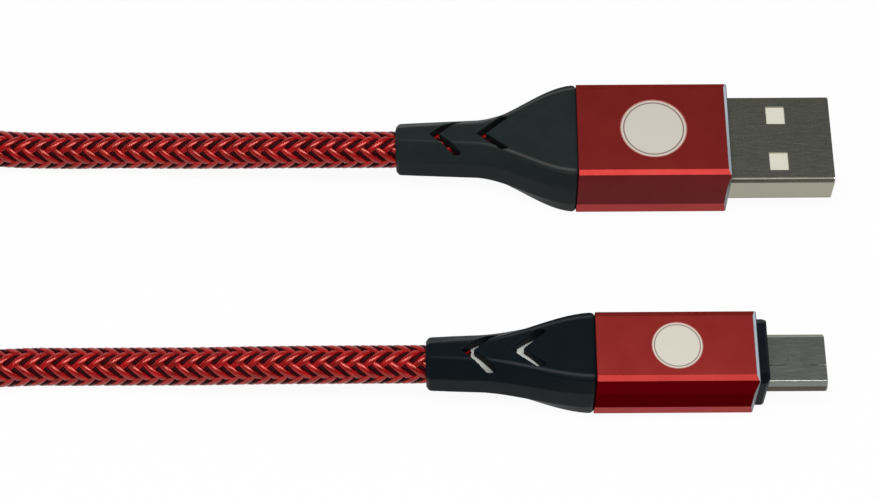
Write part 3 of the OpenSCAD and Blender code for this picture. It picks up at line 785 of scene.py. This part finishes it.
def mark_creases(mesh, size, length, neck):
    """Leaves an attribute that falls from 1 to 0 beside the long edges between the flat and the sides."""
    crease = mesh.attributes.new("crease", "FLOAT", "POINT")
    collar, front = collar_corner()[0], housing_corner(size.y, size.z)[0]
    for vertex, mark in zip(mesh.vertices, crease.data):
        widened = flare(min(max(1 + vertex.co.x / length, 0), 1), neck)
        away = (Vector((abs(vertex.co.y), abs(vertex.co.z))) - collar.lerp(front, widened)).length
        mark.value = max(0, 1 - away / CREASE_REACH) * min(1, CREASE_GROWTH * widened)


def boot_mesh(name, place, size, length, neck, slot_w):
    stations = [(COLLAR_CHAMFER * share - length, 0, COLLAR_CHAMFER * depth)
                for share, depth in COLLAR_BEVEL]
    stations += [(i * length / BOOT_RINGS - length, flare(i / BOOT_RINGS, neck), 0)
                 for i in range(2, BOOT_RINGS)]
    stations += [(-RIM_L * share, 1, RIM_DEPTH * depth) for share, depth in RIM_BEVEL]
    rings = [across(x, boot_outline(widened, size, inset)) for x, widened, inset in stations]
    solid = add_object(skin_mesh(name, rings))
    bores = (("bore", -length - OVERSHOOT, BORE_R), ("nose", NOSE_START, NOSE_R))
    cuts = [skin_mesh(label, [across(x, circle(radius)) for x in (start, OVERSHOOT)])
            for label, start, radius in bores]
    for i in range(SLOTS):
        for shift, upper in ((0, True), (LOWER_SLOT_SHIFT, False)):
            cuts.append(chevron((i + shift) * SLOT_PITCH + SLOT_START - length, slot_w, upper))
    solid = cut_by(solid, cuts)
    remesh = solid.modifiers.new("remesh", "REMESH")
    remesh.mode, remesh.voxel_size = "VOXEL", BOOT_VOXEL
    soften = solid.modifiers.new("soften", "SMOOTH")
    soften.factor, soften.iterations = BOOT_SMOOTHING
    mesh = applied(solid, name)
    mark_creases(mesh, size, length, neck)
    mesh.transform(Matrix.Scale(MM, 4) @ Matrix.Translation(place))
    mesh.shade_smooth()
    print(name, triangles(mesh), "triangles")
    return mesh


# %% [markdown]
# ** Boot plastic.** Soft black plastic with a fine spark-eroded grain: a matt skin with a slight
# bluish cast, whose gloss drifts a little. The long edges beside its flats are painted paler as a
# painted highlight, and an attribute left on the mesh says how near a point lies to them. The
# micro-B boot gets a deeper and bluer black than the other.

# %% Boot plastic
def boot_finish(name, dark, light, painted_light):
    finish = Finish(name, {"IOR": 1.09})
    place = finish.place()
    grain = finish.noise(place, 14.0, 3.0, 0.6)
    cloud = finish.noise(place, 0.5)
    # A painted highlight beside the long edges
    painted_highlight = finish.attribute("crease") * (0.5 + 0.5 * grain)
    finish.set({"Base Color": finish.mix(painted_highlight, finish.mix(cloud, dark, light), painted_light),
                "Roughness": 0.34 + 0.14 * cloud})
    finish.bump(grain, 0.012, 0.5)
    return finish.material


# The third colour of each is the painted highlight
boot_grey = boot_finish("boot_plastic", (0.012, 0.017, 0.018), (0.018, 0.024, 0.023),
                        (0.085, 0.088, 0.076))
boot_blue = boot_finish("boot_plastic_blue_black", (0.0036, 0.0068, 0.0095), (0.0050, 0.0088, 0.0115),
                        (0.045, 0.050, 0.052))

# %% Both boots
# Each boot's plastic, place, housing, length, share of it before the flare, and slot width
BOOTS = {
    "usb_a_boot": (boot_grey, usb_a_place, usb_a_size, 22, 0.42, 1.15),
    "micro_boot": (boot_blue, micro_place, micro_size, 19.5, 0.27, 1.4),
}
for node, (plastic, *facts) in BOOTS.items():
    mesh = boot_mesh(node + "_moulded", *facts)
    mesh.materials.clear()
    mesh.materials.append(plastic)
    piece_from(node + "_moulded", mesh, slot="boot_rubber", replaced=(node,))

# %% [markdown]
# ## The tie
# A strap of hook-and-loop tape holds the coil. It is one ribbon: it starts on top of the bundle, goes
# once round it and ends on top of its own start, where the hooks of one side hold the loops of the
# other. The ribbon is a flat rounded outline swept along that path, and Geometry Nodes scatters
# small standing loops of thread over all of it but what faces up.

# %% The ribbon
TIE_W, TIE_T = 9.0, 0.5
TIE_X, TIE_Z = (-144.3, -129.07), (0.0, 9.8)
TIE_CORNER = 0.95
TIE_CORNER_STEPS = 6
TIE_LOOSE = 3.0
# How far before its loose start the ribbon begins and ends its climb on to itself
TIE_CLIMB = (1.6, 0.4)
# How far apart two layers lie, in thicknesses of the ribbon
TIE_LAYER = 1.04
TIE_LIFT = 0.05
# How the loose end rises: shares of its length and of its lift
LOOSE_END = [(0.5, 0.3), (1, 1)]
TIE_EDGE_STEPS = 4


def tie_path():
    """The middle of the ribbon in X and Z, from its start on top to its loose end above it."""
    left, right = TIE_X[0] + TIE_T / 2, TIE_X[1] - TIE_T / 2
    low, high = TIE_Z[0] + TIE_T / 2, TIE_Z[1] - TIE_T / 2
    middle = (left + right) / 2
    corners = [(right, high, 90), (right, low, 0), (left, low, -90), (left, high, -180)]
    path = [(middle - TIE_LOOSE, high), (middle, high)]
    for x, z, start in corners:
        inward = TIE_CORNER if x == left else -TIE_CORNER
        upward = TIE_CORNER if z == low else -TIE_CORNER
        for k in range(TIE_CORNER_STEPS + 1):
            angle = math.radians(start - 90 * k / TIE_CORNER_STEPS)
            path.append((x + inward + TIE_CORNER * math.cos(angle),
                         z + upward + TIE_CORNER * math.sin(angle)))
    top = high + TIE_T * TIE_LAYER
    path += [(middle - TIE_LOOSE - TIE_CLIMB[0], high), (middle - TIE_LOOSE - TIE_CLIMB[1], top),
             (middle, top)]
    path += [(middle + TIE_LOOSE * along, top + TIE_LIFT * lifted) for along, lifted in LOOSE_END]
    return [Vector(p) for p in path]


def tie_section():
    """The ribbon's outline: its width along Y and its thickness outwards, with round edges."""
    outline = []
    for side, start in ((1, -90), (-1, 90)):
        for k in range(TIE_EDGE_STEPS + 1):
            angle = math.radians(start + 180 * k / TIE_EDGE_STEPS)
            middle = side * (TIE_W - TIE_T) / 2
            outline.append((middle + TIE_T / 2 * math.cos(angle), TIE_T / 2 * math.sin(angle)))
    return outline


def ribbon_ring(path, i):
    """The outline across one point of the path, counterclockwise as seen from its far end."""
    ahead = heading(path, i)
    return [(path[i].x - ahead.y * outward, sideways, path[i].y + ahead.x * outward)
            for sideways, outward in tie_section()]


# %% [markdown]
# **Tape.** Woven black nylon is matt, with a dull bloom from its many fibres. The ribs of the weave
# run along the strap, so a sine of Y, which goes across it, makes them, and noise breaks them up.

# %% Tape finish
RIBS_PER_MM = 2.2


def tape_finish():
    finish = Finish("black_tape", {"Sheen Weight": 0.3, "Sheen Roughness": 0.5, "IOR": 1.3})
    place = finish.place()
    x, y, z = finish.parts(place)
    ribs = finish.stripes(y * RIBS_PER_MM)
    fuzz = finish.noise(place, 7.0, 4.0, 0.7)
    woven = finish.mix(ribs * 0.4 + fuzz * 0.6, (0.006, 0.006, 0.007), (0.030, 0.030, 0.033))
    finish.set({"Base Color": woven, "Roughness": 0.7 + 0.2 * fuzz})
    finish.bump(ribs * 0.5 + fuzz, 0.06, 0.7)
    return finish.material


black_tape = tape_finish()

# %% Standing loops of thread, by Geometry Nodes
PILE_SIZES = {
    "Density": 5.0, "Seed": 4, "Loop Radius": 0.14, "Thread": 0.02, "Sink": 0.06, "Least Size": 0.6,
}
RING_SIDES, THREAD_SIDES = 8, 3
# The Z of a normal below which it points down
POINTS_DOWN = -0.5


def pile_tree(material):
    tree = ShapeTree("pile", kinds_of(PILE_SIZES))
    size = tree.size

    # One upright ring of thread, its middle a little off the surface
    ring = tree.node("GeometryNodeCurvePrimitiveCircle", None,
                     {"Resolution": RING_SIDES, "Radius": size["Loop Radius"]})
    ring = tree.node("GeometryNodeTransform", None, {
        "Geometry": ring, "Rotation": (math.pi / 2, 0, 0), "Translation": tree.joined(0, 0, size["Sink"])})
    thread = tree.node("GeometryNodeCurvePrimitiveCircle", None,
                       {"Resolution": THREAD_SIDES, "Radius": size["Thread"]})
    loop = tree.node("GeometryNodeCurveToMesh", None, {"Curve": ring, "Profile Curve": thread})

    # Scattered where the normal doesn't point down, each turned and sized by chance. The ribbon's
    # normals point inwards, so what this leaves out is what faces up
    x, y, upward = tree.parts(tree.node("GeometryNodeInputNormal"))
    spots = tree.node("GeometryNodeDistributePointsOnFaces", None,
                      {"Mesh": size["Given"], "Selection": upward > POINTS_DOWN, "Density": size["Density"],
                       "Seed": size["Seed"]}, "Points")
    turn = tree.node("FunctionNodeRandomValue", {"data_type": "FLOAT"},
                     {"Min": 0.0, "Max": math.tau, "Seed": size["Seed"]}, 1)
    twist = tree.node("FunctionNodeAxisAngleToRotation", None, {"Axis": (0, 0, 1), "Angle": turn})
    upright = tree.node("FunctionNodeRotateRotation", {"rotation_space": "LOCAL"},
                        {"Rotation": spots.out("Rotation"), "Rotate By": twist})
    scale = tree.node("FunctionNodeRandomValue", {"data_type": "FLOAT"},
                      {"Min": size["Least Size"], "Max": 1.0, "Seed": size["Seed"] + 1}, 1)
    pile = tree.node("GeometryNodeInstanceOnPoints", None,
                     {"Points": spots, "Instance": loop, "Rotation": upright, "Scale": scale})
    both = tree.node("GeometryNodeJoinGeometry")
    tree.put(both.socket.node.inputs[0], size["Given"])
    tree.put(both.socket.node.inputs[0], pile)
    made = tree.node("GeometryNodeRealizeInstances", None, {"Geometry": both})
    made = tree.node("GeometryNodeSetMaterial", None, {"Geometry": made, "Material": material})
    tree.close("NodeGroupOutput", made)
    return tree


# %% The tie in its place
# The rings run counterclockwise, so the ribbon's faces look inwards
strap_path = tie_path()
strap_rings = [ribbon_ring(strap_path, i) for i in range(len(strap_path))]
strap = add_object(skin_mesh("hook_and_loop_tie", strap_rings))
strap.data.shade_smooth()
tie_mesh = pile_tree(black_tape).mesh_from(strap, PILE_SIZES, "hook_and_loop_tie")
tie_mesh.transform(Matrix.Scale(MM, 4))
print(tie_mesh.name, triangles(tie_mesh), "triangles")
tie = piece_from("hook_and_loop_tie", tie_mesh, slot="black_tape", replaced=("coil_tie",))

# %% [markdown]
# ## Metal and plastic pieces with true edges
# The housings, shells, insulators and the bezel already have their exact shape in the model, but a
# computed edge is infinitely sharp, and no real edge is. It is the tiny rounding that catches the
# light and makes a part look real. So a copy of each one is cleaned and its edges get a bevel of a
# few hundredths of a millimetre. The large faces keep flat normals of their own, and the small ones
# between them shade smoothly.

# %% A copy of a model piece with rounded edges
WELD = 0.002
FLAT_WITHIN = math.radians(0.5)
EDGE_FROM = math.radians(14)
# The largest number of times that an edge may get the usual bevel
MOST_BEVEL = 5
BEVEL_STEPS = 3


def refined(node, bevel, wider=None, edge_from=EDGE_FROM):
    """A clean copy of a model piece, in millimetres, with its edges rounded. Where it is given, wider
    takes an edge's two ends and says how many times the usual bevel it gets."""
    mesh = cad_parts[node].data.copy()
    mesh.attributes.remove(mesh.attributes["custom_normal"])
    mesh.transform(Matrix.Scale(1 / MM, 4))
    copy = add_object(mesh)
    weld = copy.modifiers.new("weld", "WELD")
    weld.merge_threshold = WELD
    flat = copy.modifiers.new("flat", "DECIMATE")
    flat.decimate_type, flat.angle_limit = "DISSOLVE", FLAT_WITHIN
    clean = add_object(applied(copy, node + "_clean"))
    clean.data.shade_smooth()
    weigh_edges(clean.data, wider or (lambda a, b: 1), edge_from)
    edge = clean.modifiers.new("edge", "BEVEL")
    edge.width, edge.segments, edge.limit_method = bevel * MOST_BEVEL, BEVEL_STEPS, "WEIGHT"
    tidy = clean.modifiers.new("tidy", "WELD")
    tidy.merge_threshold = WELD
    mesh = applied(clean, node + "_finished")
    mesh.materials.clear()
    flatten_normals(mesh)
    return mesh


# %% Flat normals on large faces, smooth ones between them
LARGE_FACE = 1.5
SMOOTH_WITHIN = math.cos(math.radians(50))
SAME_NORMAL = math.cos(math.radians(1))


def flatten_normals(mesh):
    """Gives large faces flat normals, and marks an edge sharp where those of its two faces differ."""
    around = [[] for _ in mesh.vertices]
    beside = {}
    for face in mesh.polygons:
        for v in face.vertices:
            around[v].append(face)
        for pair in face.edge_keys:
            beside.setdefault(pair, []).append(face)

    def normal_at(face, v):
        if face.area > LARGE_FACE:
            return face.normal
        near = [f for f in around[v] if f.normal.dot(face.normal) > SMOOTH_WITHIN]
        large = [f for f in near if f.area > LARGE_FACE]
        return sum((f.normal * f.area for f in large or near), Vector()).normalized()

    for edge in mesh.edges:
        faces = beside[edge.key]
        edge.use_edge_sharp = len(faces) != 2 or any(
            normal_at(faces[0], v).dot(normal_at(faces[1], v)) < SAME_NORMAL for v in edge.vertices)
    mesh.normals_split_custom_set([normal_at(face, v) for face in mesh.polygons for v in face.vertices])


# %% How much of a bevel each edge gets
def weigh_edges(mesh, times, edge_from):
    """Leaves on each bent edge its share of the widest bevel."""
    work = bmesh.new()
    work.from_mesh(mesh)
    weight = work.edges.layers.float.new("bevel_weight_edge")
    for edge in work.edges:
        bent = edge.is_manifold and edge.calc_face_angle(0) > edge_from
        edge[weight] = times(*(v.co for v in edge.verts)) / MOST_BEVEL if bent else 0
    work.to_mesh(mesh)
    work.free()


def place_refined(mesh, node, materials, slot, body="cable", chosen=None):
    """Gives a refined copy its materials, face by face if need be, and shows it for its node."""
    for material in materials:
        mesh.materials.append(material)
    for face in mesh.polygons:
        face.material_index = chosen(face.center, face.normal) if chosen else 0
    mesh.transform(Matrix.Scale(MM, 4))
    print(mesh.name, triangles(mesh), "triangles")
    return piece_from(mesh.name, mesh, body, slot, (node,))


# %% [markdown]
# **Red anodised aluminium.** The housings are cut from a drawn tube, blasted with fine beads and
# dyed red in the anodising bath. The metal mirrors softly through the dye, so it is a metal
# shader with a deep red colour and a satin roughness, and its grain is a very shallow bump.
# The sides get a deeper red than the top as painted shade, deepest on the micro-B housing. Their
# lower part leans inwards and gets a paler one as a painted reflection. The front edge is cut after
# anodising with a diamond tool, so bare aluminium shows there: bright along the top, and painted
# dark down the sides as painted shade.

# %% Anodised and bare aluminium
def anodised_finish(name, dark, light, edge_tint):
    finish = Finish(name, {"Metallic": 1.0, "Specular Tint": edge_tint})
    place = finish.place()
    grain = finish.noise(place, 28.0, 3.0, 0.6)
    cloud = finish.noise(place, 0.35)
    finish.set({"Base Color": finish.mix(cloud, dark, light), "Roughness": 0.44 + 0.08 * grain})
    finish.bump(grain, 0.003, 0.4)
    return finish.material


# The height below which the cut edge is painted dark, as painted shade
EDGE_PAINTED_SHADE_BELOW = 9.05


def bare_edge_finish():
    finish = Finish("diamond_cut_edge", {"Metallic": 1.0})
    place = finish.place()
    lines = finish.streaks(place, (40.0, 1.0, 1.0))
    x, y, z = finish.parts(place)
    bare = finish.mix(lines, (0.36, 0.42, 0.47), (0.46, 0.52, 0.57))
    # Below that height the bare metal gets painted shade
    finish.set({"Base Color": finish.mix(z < EDGE_PAINTED_SHADE_BELOW, bare, (0.045, 0.062, 0.075)),
                "Roughness": 0.25 + 0.1 * lines})
    return finish.material


red_anodised = anodised_finish("red_anodised", (0.215, 0.0175, 0.016), (0.266, 0.0265, 0.023),
                               (0.05, 0.36, 0.36))
# The paler copy of the red is a painted reflection on the lower sides, and the two darker ones are painted
# shade on the sides
thin_dye = anodised_finish("thin_dye", (0.30, 0.035, 0.035), (0.36, 0.045, 0.042), (1.0, 0.6, 0.6))
deep_dye = anodised_finish("deep_dye", (0.155, 0.018, 0.019), (0.19, 0.026, 0.027), (0.3, 0.5, 0.5))
deepest_dye = anodised_finish("deepest_dye", (0.13, 0.001, 0.005), (0.155, 0.002, 0.008),
                              (0.1, 0.1, 0.1))
diamond_cut_edge = bare_edge_finish()

# %% [markdown]
# **The badge.** A laser burns the dye off a round spot, which leaves a matt, warm grey metal in fine
# straight passes. The spot carries no mark, only a thin turned ring near its rim. The
# ring comes from the distance to the badge's centre, and the passes from a sine across it.

# %% Laser-etched badge
PASSES_PER_MM = 6
# Places on the badge, as shares of its radius
RING_AT, RING_HALF_W = 0.89, 0.022
RIM_FROM = 0.965


def badge_finish(name, centre, radius):
    finish = Finish(name, {})
    place = finish.place()
    away = finish.vector("DISTANCE", place, tuple(centre), "Value") / radius
    ring = (away - RING_AT).apply("ABSOLUTE") < RING_HALF_W
    rim = away > RIM_FROM
    slanting = finish.vector("DOT_PRODUCT", place, (0.7, 0.7, 0), "Value")
    passes = finish.stripes(slanting * PASSES_PER_MM)
    speckle = finish.noise(place, 9.0, 3.0, 0.7)
    etched = finish.mix(speckle * 0.7 + passes * 0.3, (0.44, 0.41, 0.34), (0.66, 0.63, 0.55))
    ringed = finish.mix(ring, etched, (0.20, 0.13, 0.11))
    finish.set({"Base Color": finish.mix(rim, ringed, (0.42, 0.16, 0.14)),
                "Metallic": 0.35 * (1 - ring), "Roughness": 0.45 + 0.2 * speckle})
    finish.bump(passes + speckle, 0.004, 0.5)
    return finish.material


# %% Both housings
HOUSING_EDGE = 0.05
REAR_EDGE_TIMES = 4
DRAFT_EDGE_FROM = math.radians(5)
# How far back from the front the cut edge reaches
CUT_EDGE_L = 0.54
BADGE_DEPTH = 0.05
BADGE_REACH = 0.045
HOUSING_WALL = 0.65
# A normal's least X on the cut edge, its least Y on a side, and the Z below which it leans inwards
FACES_FRONT, FACES_SIDE, LEANS_IN = 0.3, 0.6, -0.08
HOUSINGS = {
    "usb_a_housing": (usb_a_place, usb_a_size, 8.1, deep_dye),
    "micro_housing": (micro_place, micro_size, 5.9, deepest_dye),
}


def housing(node, place, size, badge_d, side_painted_shade):
    """Shows a housing, whose faces get one of five finishes by where they lie: the sides get painted shade,
    and their lower part a painted reflection.
    """
    front = place.x + size.x
    centre = place + Vector((size.x / 2, 0, size.z / 2 - BADGE_DEPTH))

    def chosen(spot, normal):
        if normal.x > FACES_FRONT and spot.x > front - CUT_EDGE_L:
            return 1
        away = (spot - centre).to_2d().length
        if away < badge_d / 2 and abs(spot.z - centre.z) < BADGE_REACH:
            return 2
        at_side = abs(spot.y - place.y) > size.y / 2 - HOUSING_WALL and abs(normal.y) > FACES_SIDE
        if not at_side:
            return 0
        # On the sides, the lower faces, which lean inwards, get a painted reflection, and the others get
        # painted shade
        return 3 if normal.z < LEANS_IN else 4

    def wider(a, b):
        at_rear = max(a.x, b.x) < place.x + WELD
        outside = max(abs(a.y - place.y), abs(b.y - place.y)) > size.y / 2 - HOUSING_WALL / 2
        above = max(abs(a.z - place.z), abs(b.z - place.z)) > size.z / 2 - HOUSING_WALL / 2
        return REAR_EDGE_TIMES if at_rear and (outside or above) else 1

    etched = badge_finish("etched_" + node, centre, badge_d / 2)
    mesh = refined(node, HOUSING_EDGE, wider, DRAFT_EDGE_FROM)
    materials = [red_anodised, diamond_cut_edge, etched, thin_dye, side_painted_shade]
    return place_refined(mesh, node, materials, "red_aluminium", chosen=chosen)


for node, facts in HOUSINGS.items():
    housing(node, *facts)

# %% [markdown]
# ** Steel.** Both shells are folded from nickel-plated steel sheet. The rolling of the sheet leaves
# faint lines along it and the plating a soft mirror, so the roughness and a tiny bump follow a
# noise that is stretched along the plug. Where the USB-A shell is bent, and low on the sides of the
# micro-B shell, the plating is rougher and painted darker as painted shade. The springs, the
# shield cans and the gold-plated contacts get the same finish in colours of their own.

# %% Plated steel
# The darker colour of the plating where it is rougher, painted as painted shade
PAINTED_SHADE_STEEL = (0.13, 0.12, 0.10)


def steel_finish(name, light, dark, roughness, dull_and_shaded=None):
    """Where it is given, dull_and_shaded is a function of the finish and its place that is 1 where the
    plating is rougher and painted darker as painted shade.
    """
    finish = Finish(name, {"Metallic": 1.0, "Specular Tint": light})
    place = finish.place()
    rolled = finish.streaks(place, (0.6, 9.0, 9.0), 3.0)
    cloud = finish.noise(place, 0.25, 2.0)
    plain = finish.mix(rolled * 0.4 + cloud * 0.6, dark, light)
    # Where the plating is rougher and gets painted shade
    painted_light = dull_and_shaded(finish, place) if dull_and_shaded else 0.0
    finish.set({"Base Color": finish.mix(painted_light, plain, PAINTED_SHADE_STEEL) if dull_and_shaded else plain,
                "Roughness": roughness + 0.12 * rolled + 0.2 * painted_light})
    finish.bump(rolled, 0.002, 0.25)
    return finish.material


USB_A_BEND_Y, USB_A_BEND_Z = 5.5, 1.75
MICRO_SIDE_Y, MICRO_SIDE_Z = 2.95, 0.35
BRIGHT_RIM = 0.15


def behind_rim(x, tip):
    """1 everywhere but on the bright rim at a plug's tip."""
    return x < tip - BRIGHT_RIM


def usb_a_bends(finish, place):
    x, y, z = finish.parts(place)
    outside = (y - usb_a_place.y).apply("ABSOLUTE") > USB_A_BEND_Y
    near_flat = (z - usb_a_place.z).apply("ABSOLUTE") > USB_A_BEND_Z
    return outside * near_flat * behind_rim(x, usb_a_tip)


def micro_sides(finish, place):
    x, y, z = finish.parts(place)
    outside = (y - micro_place.y).apply("ABSOLUTE") > MICRO_SIDE_Y
    return outside * (z < micro_place.z + MICRO_SIDE_Z) * behind_rim(x, micro_tip)


matt_steel = steel_finish("matt_steel", (0.43, 0.412, 0.34), (0.355, 0.345, 0.295), 0.2, usb_a_bends)
plated_steel = steel_finish("plated_steel", (0.42, 0.43, 0.39), (0.35, 0.365, 0.34), 0.18, micro_sides)
spring_steel = steel_finish("spring_steel", (0.60, 0.60, 0.60), (0.45, 0.45, 0.46), 0.22)
shield_steel = steel_finish("shield_steel", (0.58, 0.58, 0.56), (0.44, 0.44, 0.43), 0.3)
gold_contact = steel_finish("gold_contact", (0.83, 0.60, 0.24), (0.70, 0.48, 0.17), 0.2)

# %% [markdown]
# **Plastics.** The insulators, inner moulds, bezel and wires are moulded or extruded plastics.
# One function makes them all: a colour that drifts a little, a roughness that drifts with
# it, and a grain as fine as the mould's.

# %% Plastics
def plastic_finish(name, light, dark, roughness, ior=1.35):
    finish = Finish(name, {"IOR": ior})
    place = finish.place()
    grain = finish.noise(place, 10.0, 3.0)
    cloud = finish.noise(place, 0.6)
    finish.set({"Base Color": finish.mix(cloud, dark, light), "Roughness": roughness + 0.15 * cloud})
    finish.bump(grain, 0.006, 0.35)
    return finish.material


cream_plastic = plastic_finish("cream_plastic", (0.64, 0.62, 0.53), (0.56, 0.54, 0.45), 0.4)
# The inner mould is white, and its grey colour here is painted shade for the slots it is seen through
white_plastic = plastic_finish("white_plastic", (0.50, 0.51, 0.49), (0.42, 0.43, 0.41), 0.4)
dark_plastic = plastic_finish("dark_plastic", (0.035, 0.037, 0.04), (0.02, 0.022, 0.025), 0.45)
bezel_plastic = plastic_finish("bezel_plastic", (0.007, 0.009, 0.013), (0.004, 0.006, 0.009), 0.3, 1.1)
wire_colours = {
    "red": (0.55, 0.02, 0.02), "white": (0.75, 0.75, 0.73),
    "green": (0.02, 0.25, 0.05), "black": (0.02, 0.02, 0.02),
}
wire_plastics = {
    name: plastic_finish("wire_" + name, colour, tuple(0.8 * c for c in colour), 0.35)
    for name, colour in wire_colours.items()
}

# %% Pieces shown as refined copies
USUAL_EDGE, THIN_EDGE, BEZEL_EDGE = 0.05, 0.02, 0.06
REFINED = {
    "usb_a_shell": (USUAL_EDGE, matt_steel, "plug_steel"),
    "micro_shell": (USUAL_EDGE, plated_steel, "plug_steel"),
    "usb_a_insulator": (USUAL_EDGE, cream_plastic, "cream_plastic"),
    "micro_insulator": (THIN_EDGE, cream_plastic, "cream_plastic"),
    "usb_a_inner_mould": (USUAL_EDGE, dark_plastic, "dark_plastic"),
    "micro_inner_mould": (USUAL_EDGE, white_plastic, "white_plastic"),
    "micro_bezel": (BEZEL_EDGE, bezel_plastic, "black_plastic"),
    "micro_latch_arms": (THIN_EDGE, spring_steel, "spring_steel"),
}
SHOULDER_TIMES = 5
# How far from the middle a shoulder lies, and the least length of a long edge
SHOULDER_Z = 0.85
LONG_EDGE = 5


def round_shoulders(a, b):
    """The long outer edges of the micro-B shell are rounded more than its others."""
    outside = min(abs(a.z - micro_place.z), abs(b.z - micro_place.z)) > SHOULDER_Z
    return SHOULDER_TIMES if outside and abs(a.x - b.x) > LONG_EDGE else 1


for node, (bevel, material, slot) in REFINED.items():
    wider = round_shoulders if node == "micro_shell" else None
    body = "latch" if node == "micro_latch_arms" else "cable"
    place_refined(refined(node, bevel, wider), node, [material], slot, body)

# %% Pieces of the model that keep their own mesh
KEPT = {
    "usb_a_contacts": (gold_contact, "gold_contact"),
    "micro_contact_tails": (gold_contact, "gold_contact"),
    "micro_contact_arms": (gold_contact, "gold_contact"),
    "micro_latch_base": (spring_steel, "spring_steel"),
}
for plug in ("usb_a", "micro"):
    KEPT[plug + "_rear_shield"] = (shield_steel, "shield_steel")
    KEPT[plug + "_inner_jacket"] = (black_jacket, "wire_black")
    for name, plastic in wire_plastics.items():
        KEPT[f"{plug}_wire_{name}"] = (plastic, "wire_" + name)
for node, (material, slot) in KEPT.items():
    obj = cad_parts[node]
    obj.data.materials.clear()
    obj.data.materials.append(material)
print(len(REFINED) + len(HOUSINGS), "refined pieces,", len(KEPT), "kept as they are")

# %% [markdown]
# ## The floor, the backdrop and the light
# The object lies on a plain white table. The table shows white to the camera and in
# reflections, with a little of its real shading mixed in, so that the shadow stays. Light comes from
# a pale world and one softbox almost overhead. A large dark card above the softbox gives the flat
# steel tops their dark and slightly cool grey: polished metal shows only what it mirrors. The card
# is seen by reflections alone and takes no light away from anything.

# %% Floor and world
FLOOR_SIZE = 4
FLOOR_WHITE = 0.95
FLOOR_PALE = 0.75
WORLD_LEVEL = 0.22
WHITE = (1, 1, 1, 1)


def empty_tree(owner):
    """The node tree of a material or a world, with nothing in it."""
    owner.use_nodes = True
    owner.node_tree.nodes.clear()
    return Tree(owner.node_tree)


def background_share(tree):
    """1 for rays that should see the plain white background."""
    path = tree.node("ShaderNodeLightPath", None, None, "Is Camera Ray")
    glossy_or_clear = path.math("MAXIMUM", path.out("Is Glossy Ray"), path.out("Is Transmission Ray"))
    return path.math("MAXIMUM", path, glossy_or_clear)


def plane(name, material, corners, height):
    """A level plane of the stage, which faces up if its corners run counterclockwise."""
    mesh = plain_mesh(name, [(x, y, height) for x, y in corners], [(0, 1, 2, 3)])
    mesh.materials.append(material)
    obj = add_object(mesh)
    return obj


floor_material = bpy.data.materials.new("white_floor")
floor_tree = empty_tree(floor_material)
diffuse = floor_tree.node("ShaderNodeBsdfDiffuse", None, {"Color": (FLOOR_PALE, FLOOR_PALE, FLOOR_PALE, 1)})
white = floor_tree.node("ShaderNodeEmission", None, {"Color": WHITE, "Strength": 1.0})
floor_tree.close("ShaderNodeOutputMaterial", floor_tree.node("ShaderNodeMixShader", None, {
    0: background_share(floor_tree) * FLOOR_WHITE, 1: diffuse, 2: white}))
half = FLOOR_SIZE / 2
plane("floor", floor_material, [(-half, -half), (half, -half), (half, half), (-half, half)], 0)

world = bpy.data.worlds.new("studio")
bpy.context.scene.world = world
world_tree = empty_tree(world)
strength = WORLD_LEVEL + background_share(world_tree) * (1 - WORLD_LEVEL)
world_tree.close("ShaderNodeOutputWorld", world_tree.node("ShaderNodeBackground", None, {
    "Color": WHITE, "Strength": strength}))

# %% Softbox and dark card
SOFTBOX_HEIGHT = 0.45
SOFTBOX_LEAN = math.radians(-7)
SOFTBOX_SIZE = (0.38, 0.15)
SOFTBOX_WATTS = 2.25
CARD_HEIGHT = 0.5
CARD_Y, CARD_HALF_X = (-1.6, 0.7), 0.9
CARD_LEVEL = 0.1
CARD_COLOUR = (0.9, 1.0, 1.0, 1)

light = bpy.data.lights.new("softbox", "AREA")
light.shape = "RECTANGLE"
light.size, light.size_y = SOFTBOX_SIZE
light.energy = SOFTBOX_WATTS
softbox = add_object(light)
softbox.location = (VIEW_TARGET.x, SOFTBOX_HEIGHT * math.tan(SOFTBOX_LEAN), SOFTBOX_HEIGHT)
softbox.rotation_euler = (SOFTBOX_LEAN, 0, 0)

card_material = bpy.data.materials.new("dark_card")
card_tree = empty_tree(card_material)
card_tree.close("ShaderNodeOutputMaterial", card_tree.node("ShaderNodeEmission", None, {
    "Color": CARD_COLOUR, "Strength": CARD_LEVEL}))
near, far = CARD_Y
card = plane("dark_card", card_material, [(-CARD_HALF_X, near), (-CARD_HALF_X, far),
                                          (CARD_HALF_X, far), (CARD_HALF_X, near)], CARD_HEIGHT)
card.visible_camera = card.visible_diffuse = card.visible_shadow = False
card.visible_transmission = card.visible_volume_scatter = False
